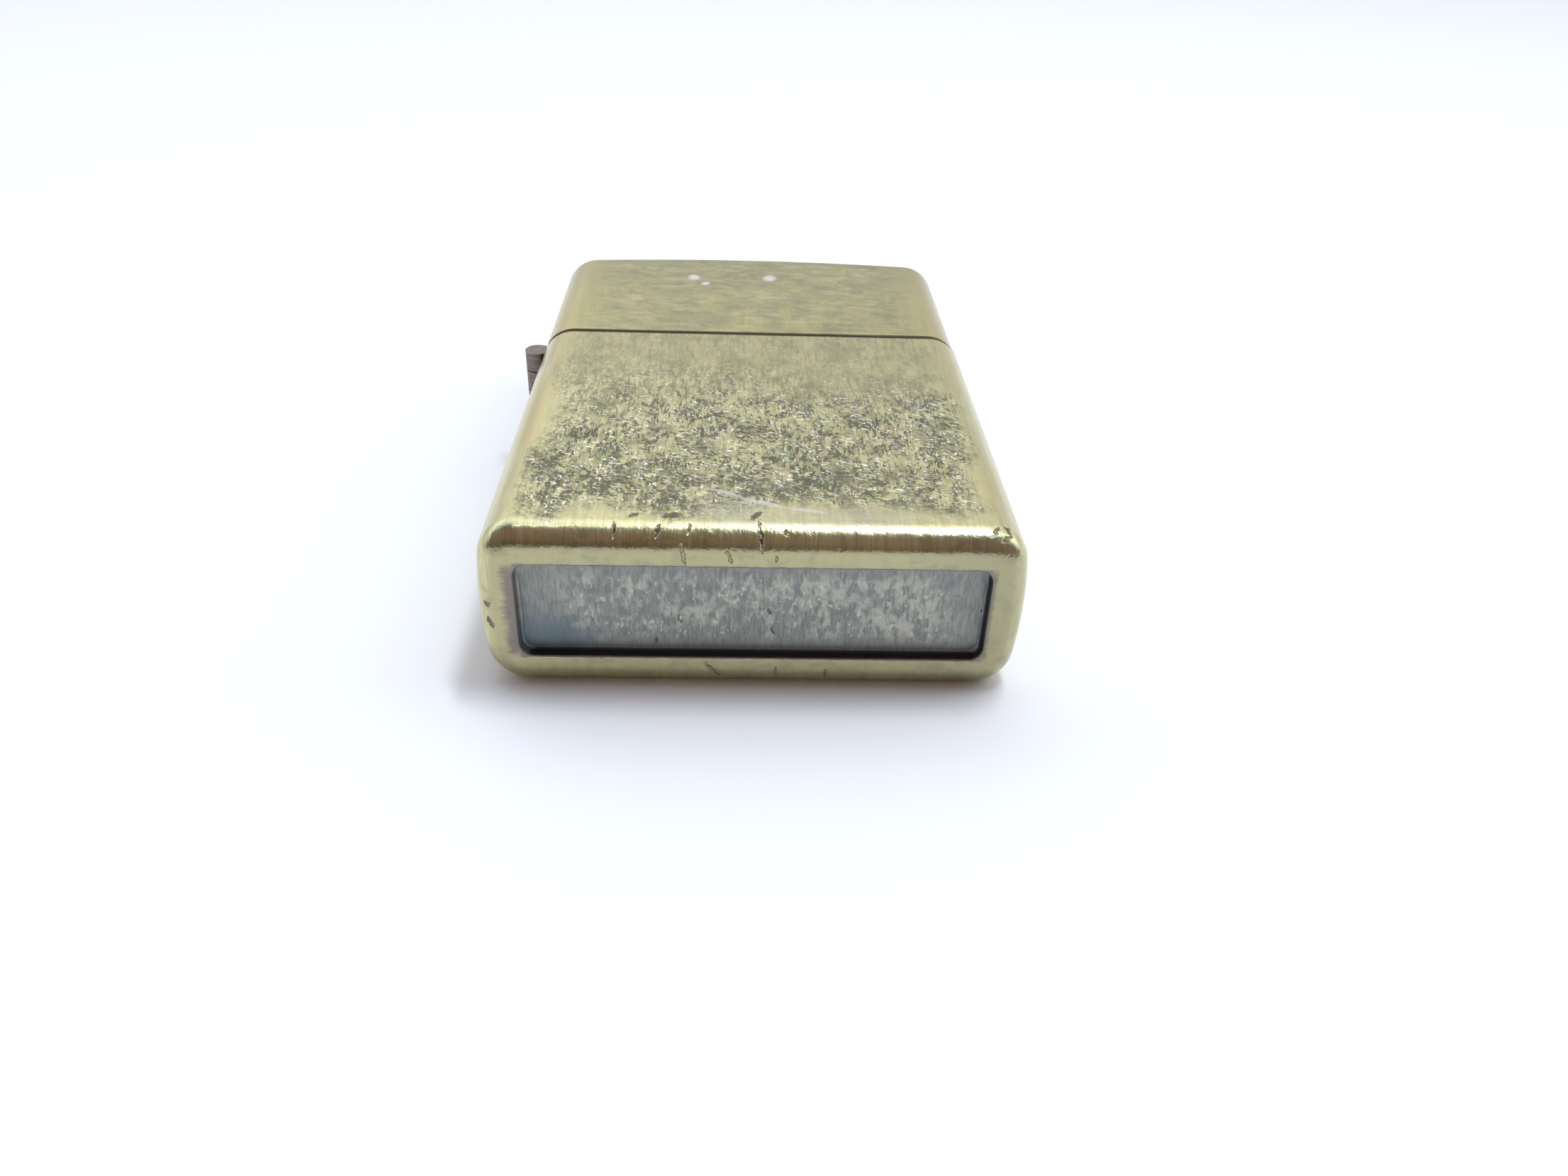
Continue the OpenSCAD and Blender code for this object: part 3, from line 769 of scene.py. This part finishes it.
def lid_brass():
    """The same brass, more softly mottled, with a few painted glints near the top and painted shade at the
    seam.
    """
    s = Shader("lid_brass_worn")
    h = s.add(s.y, LENGTH / 2)
    face = face_mask(s)
    streak = grain(s)
    patch = s.noise((0.2, 0.3, 0.3), 3, 0.6, 0.4, shift=(4, 2, 7))
    edge = s.step(s.add(s.abs(s.x), s.mul(patch, 6)), 20, 15.5)
    fine = speckle(s, 1.5, 0.12)
    dark = s.mul(s.step(s.noise((0.55, 0.8, 0.7), 3, 0.55, 0.6, shift=(3, 3, 3)), 0.44, 0.66), edge)
    base = s.mix(s.step(streak, 0.3, 0.7), LID_BRASS, LID_BRASS_PALE)
    base = s.mix(s.mul(side_mask(s), 0.7), base, WARM_BRASS)
    base = s.mix(s.mul(s.step(patch, 0.4, 0.66), s.mul(edge, 0.5)), base, (0.27, 0.26, 0.17))
    base = s.mix(s.mul(s.step(h, 42, 53), 0.3), base, (0.29, 0.275, 0.18))
    base = s.mix(s.mul(dark, 0.5), base, (0.24, 0.235, 0.16))
    base = s.mix(s.mul(s.mul(fine, edge), 0.16), base, (0.2, 0.19, 0.13))
    pale = s.step(s.noise((0.45, 1.1, 0.5), 2, 0.5, 0.4, 8, (5, 6, 2)), 0.5, 0.68)
    base = s.mix(s.mul(pale, s.mul(s.mul(edge, face), 0.3)), base, (0.60, 0.57, 0.37))
    # painted highlight: soft white glints of lamps near the top of the lid
    soft = s.mul(s.sway(0.8, 1.2, 2), 1.6)
    painted_glint = s.mul(s.stroke(LID_PAINTED_GLINTS, s.x, h, soft, 3.6, 0.0), face)
    base = s.mix(s.mul(painted_glint, 0.75), base, PAINTED_GLINT_WHITE)
    # painted shade: the lid's rolled rim at the seam is darkened for the shadowed gap
    seam = s.step(h, LID_H + 0.42, LID_H + 0.2)
    base = s.mix(s.mul(seam, 0.9), base, (0.07, 0.055, 0.028))
    rough = s.add(s.add(0.26, s.mul(face, 0.12)), s.mul(s.add(streak, -0.5), 0.15))
    rough = s.add(rough, s.mul(seam, 0.3))
    normal = s.bump(s.add(s.mul(streak, 0.4), s.mul(fine, -0.3)), 0.012, 0.45)
    return s.finish(base, 0.96, rough, normal)


def panel_patina():
    """The sunk base panel: blue-grey tarnish, brushed up and down, with brass showing through in flecks;
    painted shade at its edges, painted light low down.
    """
    s = Shader("panel_patina")
    h = s.add(s.y, LENGTH / 2)
    v = s.add(s.z, -THICK / 2)
    patch = s.noise((0.35, 0.3, 0.5), 3, 0.6, 0.4, shift=(2, 2, 6))
    streak = s.noise((5.5, 1, 1.0), 3, 0.65, shift=(0, 0, 3))
    spots = s.noise((2.3, 1, 1.3), 4, 0.6, 0.3, shift=(6, 1, 1))
    v_drift = s.add(v, patch)
    fade = s.mul(s.step(s.add(s.abs(s.add(s.x, -0.4)), s.mul(patch, 3)), 17.2, 13.0),
                 s.mul(s.step(v_drift, -3.0, -1.3), s.step(v_drift, 4.1, 2.4)))
    show = s.step(s.add(s.mul(spots, 0.55), s.mul(patch, 0.45)), 0.45, 0.6)
    show = s.mul(show, s.add(0.12, s.mul(fade, 0.88)))
    base = s.mix(s.step(streak, 0.35, 0.65), PANEL_GREY, PANEL_PALE)
    base = s.mix(s.mul(show, 0.6), base, (0.56, 0.56, 0.44))
    # painted light: the panel is lighter towards its lower edge, by the back face
    base = s.mix(s.mul(s.step(v, -1.8, -3.6), 0.35), base, (0.36, 0.375, 0.375))
    glint = s.step(s.noise((3.4, 1, 1.9), 2, 0.5, 0.2, shift=(1, 8, 5)), 0.62, 0.7)
    base = s.mix(s.mul(s.mul(glint, fade), 0.7), base, (0.66, 0.66, 0.53))
    teal = s.mul(s.step(s.add(s.x, s.mul(patch, 4)), -8.0, -11.5), s.step(v, 0.5, -2.5))
    base = s.mix(s.mul(teal, 0.7), base, PANEL_TEAL)

    # painted shade along the panel's edges and on the walls of the recess, and grey patina on the left wall
    left_end = -RECESS_W / 2
    edge_shade_mask = s.max(s.step(s.add(RECESS_T / 2, s.mul(s.abs(v), -1)), 0.2, 0.04),
                  s.step(s.add(RECESS_T / 2, v), 0.16, 0.04))
    edge_shade_mask = s.max(edge_shade_mask, s.step(s.add(RECESS_W / 2, s.mul(s.x, -1)), 0.25, 0.05))
    edge_shade_mask = s.mul(edge_shade_mask, s.step(s.x, left_end + 0.3, left_end + 1.2))
    base = s.mix(s.mul(edge_shade_mask, 0.9), base, (0.03, 0.03, 0.038))
    on_wall = s.step(h, RECESS_DEPTH - 0.12, RECESS_DEPTH - 0.3)
    wall = s.mul(on_wall, s.step(s.x, left_end + 0.4, left_end + 0.7))
    # painted shade: the recess's walls are dark
    base = s.mix(s.mul(wall, 0.9), base, (0.035, 0.034, 0.04))
    left_wall = s.mul(on_wall, s.step(s.x, left_end + 0.7, left_end + 0.4))
    base = s.mix(s.mul(left_wall, 0.8), base, GREY_PATINA)

    warp = s.sway(0.5, 2.4, 2, 0.6)
    ticks = s.stroke(PANEL_TICKS, s.add(s.x, warp), s.add(v, warp), s.sway(1.2, 6, 2))
    base = s.mix(s.mul(ticks, 0.7), base, (0.05, 0.052, 0.055))
    rough = s.add(0.44, s.mul(show, -0.08))
    normal = s.bump(s.add(streak, s.mul(show, 0.5)), 0.02, 0.5)
    return s.finish(base, s.add(0.65, s.mul(show, 0.3)), rough, normal)


def inner_brass():
    """The unlacquered inside of the case and the lid, duller and blotched."""
    s = Shader("inner_brass")
    blotch = s.noise(0.35, 4, 0.6, 0.5)
    rings = s.noise((0.4, 5, 0.4), 2, 0.5)
    base = s.mix(s.step(blotch, 0.35, 0.7), (0.52, 0.42, 0.22), (0.30, 0.235, 0.13))
    base = s.mix(s.mul(s.step(rings, 0.5, 0.7), 0.3), base, (0.66, 0.56, 0.32))
    return s.finish(base, 0.95, s.add(0.36, s.mul(blotch, 0.2)), s.bump(rings, 0.01, 0.5))


def steel(name, light, dark, rough, stain=0.4, streaks=(0.5, 6, 0.5)):
    """Worked steel: fine tool marks, soft stains and a little soot."""
    s = Shader(name)
    marks = s.noise(streaks, 3, 0.6)
    stains = s.noise(0.55, 4, 0.6, 0.4, shift=(3, 5, 1))
    base = s.mix(s.step(marks, 0.3, 0.7), light, tuple(c * 0.82 for c in light))
    base = s.mix(s.mul(s.step(stains, 0.5, 0.78), stain), base, dark)
    roughness = s.add(rough, s.mul(stains, 0.14))
    return s.finish(base, 0.97, roughness, s.bump(marks, 0.008, 0.5))


def chimney_steel():
    """Plated steel with a heat tint and soot near the flame."""
    s = Shader("chimney_steel_heat")
    h = s.add(s.y, LENGTH / 2)
    marks = s.noise((5, 0.4, 5), 3, 0.6)
    cloud = s.noise(0.4, 3, 0.6, 0.5)
    heat = s.step(s.add(h, s.mul(cloud, 7)), 46, 56)
    base = s.mix(s.step(marks, 0.3, 0.7), WHITE_STEEL, (0.58, 0.58, 0.575))
    base = s.mix(s.mul(heat, 0.55), base, (0.45, 0.36, 0.24))
    soot = s.step(s.add(h, s.mul(cloud, 5)), 51, 56)
    base = s.mix(s.mul(soot, 0.7), base, (0.08, 0.07, 0.065))
    return s.finish(base, 0.95, s.add(0.26, s.mul(soot, 0.25)), s.bump(marks, 0.008, 0.4))


def plain_brass():
    s = Shader("plain_brass_part")
    marks = s.noise((0.6, 7, 0.6), 3, 0.5)
    dull = s.noise(0.8, 3, 0.6)
    base = s.mix(s.step(dull, 0.4, 0.7), (0.78, 0.60, 0.28), (0.52, 0.38, 0.19))
    return s.finish(base, 1.0, s.add(0.24, s.mul(dull, 0.18)), s.bump(marks, 0.01, 0.5))


def cotton(name, light, dark, fibre):
    s = Shader(name)
    tangle = s.noise(fibre, 5, 0.7, 1.5)
    cloud = s.noise(0.4, 3, 0.6)
    base = s.mix(s.step(tangle, 0.35, 0.68), dark, light)
    base = s.mix(s.mul(s.step(cloud, 0.5, 0.8), 0.3), base, dark)
    return s.finish(base, 0.0, 0.92, s.bump(tangle, 0.08, 0.8), Sheen_Weight=0.25)


def wick_cotton():
    """Woven wick, charred black at its tip."""
    s = Shader("wick_cotton")
    h = s.add(s.y, LENGTH / 2)
    yarn = s.noise(4, 4, 0.7, 0.8)
    base = s.mix(s.step(yarn, 0.3, 0.7), (0.52, 0.46, 0.36), (0.74, 0.69, 0.59))
    char = s.step(s.add(h, s.mul(yarn, 1.6)), 43.6, 46.0)
    base = s.mix(char, base, (0.02, 0.018, 0.016))
    return s.finish(base, 0.0, 0.9, s.bump(yarn, 0.05, 0.8))


def flint_alloy():
    s = Shader("flint_alloy")
    grit = s.noise(6, 4, 0.7)
    base = s.mix(s.step(grit, 0.3, 0.7), (0.10, 0.10, 0.105), (0.24, 0.235, 0.23))
    return s.finish(base, 0.6, 0.62, s.bump(grit, 0.04, 0.8))


def hinge_steel():
    """Dark, brown-stained steel of the hinge."""
    s = Shader("hinge_steel_dark")
    marks = s.noise((0.7, 0.7, 5), 3, 0.6)
    stain = s.noise(1.1, 3, 0.6, 0.4)
    base = s.mix(s.step(marks, 0.3, 0.7), (0.17, 0.15, 0.14), (0.26, 0.235, 0.215))
    base = s.mix(s.mul(s.step(stain, 0.45, 0.7), 0.6), base, (0.20, 0.125, 0.085))
    return s.finish(base, 0.92, s.add(0.36, s.mul(stain, 0.15)), s.bump(marks, 0.01, 0.5))


# ---- Wheel, wick and soft fillings ----


def centre_and_half(node):
    low, high = box_mm(node)
    return (low + high) / 2, (high - low) / 2


def build_wheel(material):
    """Striker wheel: two coarse saw-toothed rims and a fine file-cut band between them."""
    centre, half = centre_and_half("striker_wheel")
    radius, side = half.y, half.z
    bore = 0.81
    teeth, cuts = 28, 84
    around = teeth * 12
    rim = 1.05
    band_rings = 16
    worn_corner, saw_teeth, file_cuts = 0, 1, 2

    def reach(angle, w, kind):
        """How far the surface is from the axis, at an angle and a distance w along the axis."""
        turn = angle / (2 * math.pi)
        if kind == file_cuts:
            a = (turn * cuts + w * 1.9) % 1.0
            b = (turn * cuts - w * 1.9) % 1.0
            ridge = min(abs(2 * a - 1), abs(2 * b - 1))
            return radius - 0.14 - 0.13 * (1 - ridge)
        saw = (turn * teeth) % 1.0
        tooth = saw / 0.3 if saw < 0.3 else (1 - saw) / 0.7
        return radius - 0.4 * (1 - tooth) - (0.12 if kind == worn_corner else 0.0)

    def ring(w, radial):
        points = []
        for i in range(around):
            a = 2 * math.pi * i / around
            r = radial(a)
            points.append((centre + Vector((r * math.cos(a), r * math.sin(a), w))) * MM)
        return points

    # distances along the axis, and what is cut there
    edge = [(side, worn_corner), (side - 0.12, saw_teeth)]
    edge += [(side - rim + 0.1, saw_teeth), (side - rim, file_cuts)]
    band = [(-side + rim + 2 * (side - rim) * k / band_rings, file_cuts) for k in range(1, band_rings)]
    stations = [(-w, kind) for w, kind in edge] + band + edge[::-1]

    # the two flat ends step down to the bore, at these distances in from the side and out from the axis
    end = [(0.25, bore), (0.05, bore + 0.15), (0, bore + 0.5), (0, radius - 1.0)]
    rings = [ring(w - side, lambda a, r=r: r) for w, r in end]
    rings += [ring(w, lambda a, w=w, kind=kind: reach(a, w, kind)) for w, kind in stations]
    rings += [ring(side - w, lambda a, r=r: r) for w, r in end[::-1]]
    rings.append(rings[0])
    bm = bmesh.new()
    join_rings(bm, rings)
    mesh = finish_mesh(bm, "striker_wheel_cut", 30)
    return new_piece("striker_wheel_cut", mesh, "wheel", material, ["striker_wheel"])


def tube_along(bm, path, radius, sides):
    """A round tube along points in metres, closed at both ends; the radius may go by the share along it."""
    rings = []
    side = Vector((0, 0, 1))
    for i, point in enumerate(path):
        ahead = (path[min(i + 1, len(path) - 1)] - path[max(i - 1, 0)]).normalized()
        u = (side - ahead * side.dot(ahead)).normalized()
        w = ahead.cross(u)
        size = radius(i / (len(path) - 1)) if callable(radius) else radius
        rings.append([point + (u * math.cos(a) + w * math.sin(a)) * size
                      for a in (2 * math.pi * k / sides for k in range(sides))])
    made = join_rings(bm, rings)
    bm.faces.new(list(reversed(made[0])))
    bm.faces.new(made[-1])


def build_wick(material):
    """A braided wick: yarns wound both ways over a core, and a loose tuft at the top."""
    centre, half = centre_and_half("wick")
    low, high = centre.y - half.y, centre.y + half.y
    core = half.x - 0.3
    yarns, pitch, steps = 5, 4.2, 150
    strands, golden_angle = 46, 2.39996

    def at(r, a, y):
        return Vector((centre.x + r * math.cos(a), y, centre.z + r * math.sin(a))) * MM

    bm = bmesh.new()
    tube_along(bm, [at(0, 0, low + (high - low - 0.9) * k / 12) for k in range(13)], core * MM, 14)
    for turn in (-1, 1):
        for n in range(yarns):
            path = []
            for i in range(steps + 1):
                up = 0.1 + (high - low - 0.5) * i / steps
                weave = 0.07 * math.cos(yarns * 2 * math.pi * up / pitch + n * math.pi)
                a = 2 * math.pi * (n / yarns + turn * up / pitch)
                path.append(at(half.x - 0.26 + weave * turn, a, low + up))
            tube_along(bm, path, 0.17 * MM, 6)
    for n in range(strands):
        r = core * math.sqrt((n + 0.5) / strands)
        lean = 0.22 * noise.noise(Vector((n * 1.7, 0.3, 2.2)))
        tall = 0.75 + 0.35 * noise.noise(Vector((n * 0.9, 5.1, 0.7)))
        path = []
        for t in (0, 0.2, 0.4, 0.6, 0.8, 1):
            path.append(at(r + lean * t, n * golden_angle + 0.5 * lean * t, min(high - 1.0 + tall * t, high)))
        tube_along(bm, path, lambda t: (0.08 - 0.05 * t) * MM, 5)
    return new_piece("wick_braid", plain_mesh(bm, "wick_braid"), "case", material, ["wick"])


def build_flint_spring(material):
    """A wound wire with closed end turns."""
    centre, half = centre_and_half("flint_spring")
    wire = 0.16
    low, high = centre.y - half.y + wire, centre.y + half.y - wire
    turns, steps = 20, 24
    closed_turns, closed_pitch = 1.5, 1.05 * 2 * wire
    open_length = high - low - 2 * closed_turns * closed_pitch
    r = half.x - wire - 0.01
    path = []
    for i in range(turns * steps + 1):
        turn = i / steps
        below = closed_pitch * min(turn, closed_turns)
        rise = min(max((turn - closed_turns) / (turns - 2 * closed_turns), 0), 1)
        above = closed_pitch * max(turn - turns + closed_turns, 0)
        a = 2 * math.pi * turn
        y = low + below + open_length * rise + above
        path.append(Vector((centre.x + r * math.cos(a), y, centre.z + r * math.sin(a))) * MM)
    bm = bmesh.new()
    tube_along(bm, path, wire * MM, 8)
    mesh = plain_mesh(bm, "flint_spring_coil")
    piece = new_piece("flint_spring_coil", mesh, None, material, ["flint_spring"])
    ends = [Vector((centre.x, y, centre.z)) * MM for y in (low, high)]
    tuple(ends[0])
    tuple(ends[1])
    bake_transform(piece)


def soft_block(name, node, material, lumps, depth, cell):
    """Makes lumpy fibre of a plain CAD filling: remeshed, then pressed in by noise, never outwards."""
    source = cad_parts[node]
    piece = bpy.data.objects.new(name, source.data.copy())
    bpy.context.scene.collection.objects.link(piece)
    modifier = piece.modifiers.new("remesh", "REMESH")
    modifier.mode = "VOXEL"
    modifier.voxel_size = cell * MM
    graph = bpy.context.evaluated_depsgraph_get()
    mesh = bpy.data.meshes.new_from_object(piece.evaluated_get(graph))
    bpy.data.objects.remove(piece)
    bm = bmesh.new()
    bm.from_mesh(mesh)
    bmesh.ops.smooth_vert(bm, verts=bm.verts, factor=0.5, use_axis_x=True, use_axis_y=True, use_axis_z=True)
    bm.normal_update()
    for vert in bm.verts:
        p = vert.co / MM * lumps
        press = 0.5 + 0.5 * noise.fractal(p, 1.0, 2.0, 3)
        vert.co -= vert.normal * depth * min(max(press, 0), 1) * MM
    return new_piece(name, plain_mesh(bm, name), "case", material, [node])


def dress(node, material, bevel=0.0):
    """Gives a CAD node its material and, where it has sharp edges, a small bevel."""
    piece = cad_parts[node]
    piece.data.materials.clear()
    piece.data.materials.append(material)
    if bevel:
        modifier = piece.modifiers.new("edge", "BEVEL")
        modifier.width = bevel * MM
        modifier.segments = 2
        modifier.limit_method = "ANGLE"
        modifier.angle_limit = math.radians(40)


# ---- Build ----

build_case([case_brass(), panel_patina(), inner_brass()])
build_lid([lid_brass(), inner_brass()])

dark_hinge = hinge_steel()
for name in ("hinge_case_leaf", "hinge_lid_leaf", "lid_stop_tab"):
    dress(name, dark_hinge, 0.06)
dress("hinge_pin", dark_hinge, 0.05)
can = steel("insert_steel_plate", WHITE_STEEL, (0.34, 0.31, 0.27), 0.24, 0.35, (5, 0.4, 5))
dress("insert_can", can, 0.1)
dress("top_plate", can)
dress("chimney", chimney_steel(), 0.07)
rivets = steel("rivet_steel", (0.66, 0.66, 0.65), (0.3, 0.27, 0.24), 0.28)
for name in ("wheel_rivet", "cam_rivet"):
    dress(name, rivets, 0.16)
springs = steel("spring_steel", (0.55, 0.55, 0.56), (0.24, 0.22, 0.2), 0.3)
dress("cam_spring", springs, 0.05)
build_flint_spring(springs)
brass_part = plain_brass()
dress("flint_tube", brass_part, 0.06)
for name in ("cam_spring_rivet", "flint_screw", "flint_spring_tip"):
    dress(name, brass_part, 0.1)
dress("cam", steel("cam_steel", (0.46, 0.45, 0.44), (0.2, 0.18, 0.16), 0.3), 0.12)
dress("flint", flint_alloy(), 0.1)
build_wheel(steel("wheel_steel", (0.34, 0.33, 0.32), (0.14, 0.12, 0.11), 0.34, 0.6, (1, 1, 1)))
build_wick(wick_cotton())
cotton_wool = cotton("packing_cotton_wool", (0.88, 0.87, 0.84), (0.70, 0.68, 0.63), 1.6)
felt = cotton("felt_pressed", (0.84, 0.82, 0.78), (0.62, 0.59, 0.54), 3.0)
soft_block("packing_cotton", "packing", cotton_wool, lumps=0.28, depth=0.5, cell=0.4)
soft_block("felt_pad_pressed", "felt_pad", felt, lumps=0.9, depth=0.08, cell=0.22)

# ---- Stage, light and camera ----


FLOOR_HALF = 3.0


def build_floor():
    """A plain pale table top that reaches 3 m each way."""
    bm = bmesh.new()
    bmesh.ops.create_grid(bm, x_segments=2, y_segments=2, size=FLOOR_HALF)
    mesh = plain_mesh(bm, "floor")
    floor = bpy.data.objects.new("floor", mesh)
    bpy.context.scene.collection.objects.link(floor)
    s = Shader("table_white")
    haze = s.noise(0.004, 2, 0.5)
    base = s.mix(haze, (0.91, 0.925, 0.95), (0.93, 0.94, 0.96))
    mesh.materials.append(s.finish(base, 0.0, 0.45, Specular_IOR_Level=0.12))


def area_light(name, place, size, power, color):
    """A rectangular lamp aimed at the object: metres and watts."""
    data = bpy.data.lights.new(name, "AREA")
    data.shape = "RECTANGLE"
    data.size, data.size_y = size
    data.energy = power
    data.color = color
    light = bpy.data.objects.new(name, data)
    bpy.context.scene.collection.objects.link(light)
    light.location = place
    light.rotation_euler = (-Vector(place)).to_track_quat("-Z", "Y").to_euler()


ROOM = [  # degrees over the top of the room, from the horizon at -Y (0) to the horizon at +Y (180)
    (0, (0.12, 0.085, 0.078)),
    (26, (0.24, 0.170, 0.150)),
    (58, (0.27, 0.190, 0.170)),
    (86, (0.18, 0.160, 0.170)),
    (98, (0.85, 1.05, 1.35)),
    (110, (1.65, 1.82, 2.05)),
    (127, (1.70, 1.76, 1.82)),
    (142, (1.05, 1.05, 1.05)),
    (158, (0.80, 0.80, 0.80)),
    (180, (0.70, 0.72, 0.74)),
]
# How far the bands lean, how much brighter the +X side is, and how bright the room is.
ROOM_LEAN = 0.4
ROOM_TILT = 0.2
ROOM_LIGHT = 1.04


def build_world():
    """A pale room, bright above and far off, dim and warm on the near side; the camera sees plain white."""
    world = bpy.data.worlds.new("room")
    bpy.context.scene.world = world
    n = Nodes(world)
    x, y, z = n.split(n.new("TexCoord").outputs["Generated"])
    turn = n.mul(n.math("ARCTAN2", n.max(z, 0.0), n.mul(y, -1.0)), 1 / math.pi)
    # the bands lean sideways between the middle and the two sides of the room
    lean = n.mul(n.mul(x, ROOM_LEAN), n.math("SUBTRACT", 1.0, n.abs(x)))
    ramp = n.new("ValToRGB")
    ramp.color_ramp.interpolation = "EASE"
    stops = ramp.color_ramp.elements
    while len(stops) < len(ROOM):
        stops.new(0.5)
    for stop, (angle, colour) in zip(stops, ROOM):
        stop.position = angle / 180
        stop.color = (*colour, 1)
    n.link(n.add(turn, lean), ramp.inputs[0])
    room, white, choose = n.new("Background"), n.new("Background"), n.new("MixShader")
    n.link(ramp.outputs[0], room.inputs["Color"])
    n.link(n.add(n.mul(x, ROOM_TILT), ROOM_LIGHT), room.inputs["Strength"])
    white.inputs["Color"].default_value = (1, 1, 1, 1)
    n.link(n.new("LightPath").outputs["Is Camera Ray"], choose.inputs[0])
    n.link(room.outputs[0], choose.inputs[1])
    n.link(white.outputs[0], choose.inputs[2])
    n.link(choose.outputs[0], n.new("OutputWorld").inputs[0])


# The viewpoint as (x, v, h), how far it looks down, rolls and turns, and its lens for a 36 mm frame.
VIEW_X, VIEW_V, VIEW_H = -1.325, 54.002 - THICK / 2, -68.296
VIEW_DOWN, VIEW_ROLL, VIEW_TURN = math.radians(33.54), math.radians(-2.3045), math.radians(-2.8)
VIEW_LENS = 27.717


def build_camera():
    """The photograph's viewpoint, from a fit to the object's outline."""
    place = row(VIEW_X, VIEW_V, VIEW_H)
    back = Vector((0, -math.cos(VIEW_DOWN), math.sin(VIEW_DOWN)))
    above = Vector((0, math.sin(VIEW_DOWN), math.cos(VIEW_DOWN)))
    right = Vector((1, 0, 0))
    turn = Matrix.Rotation(VIEW_TURN, 3, "Z")
    rolled_right = turn @ (right * math.cos(VIEW_ROLL) - above * math.sin(VIEW_ROLL))
    rolled_up = turn @ (right * math.sin(VIEW_ROLL) + above * math.cos(VIEW_ROLL))
    back = turn @ back
    data = bpy.data.cameras.new("camera")
    data.sensor_width = 36.0
    data.lens = VIEW_LENS
    data.clip_start = 0.005
    data.clip_end = 20.0
    camera = bpy.data.objects.new("camera", data)
    bpy.context.scene.collection.objects.link(camera)
    matrix = Matrix((rolled_right, rolled_up, back)).transposed().to_4x4()
    matrix.translation = place
    camera.matrix_world = matrix
    bpy.context.scene.camera = camera


build_floor()
build_world()
area_light("key", (0.13, 0.066, 0.60), (0.20, 0.05), 1.5, (0.92, 0.97, 1.04))
area_light("glint", (-0.135, 0.07, 0.60), (0.03, 0.03), 0.08, (1.0, 1.0, 1.0))
build_camera()
bpy.context.scene.view_settings.view_transform = "Standard"
bpy.context.scene.view_settings.look = "None"
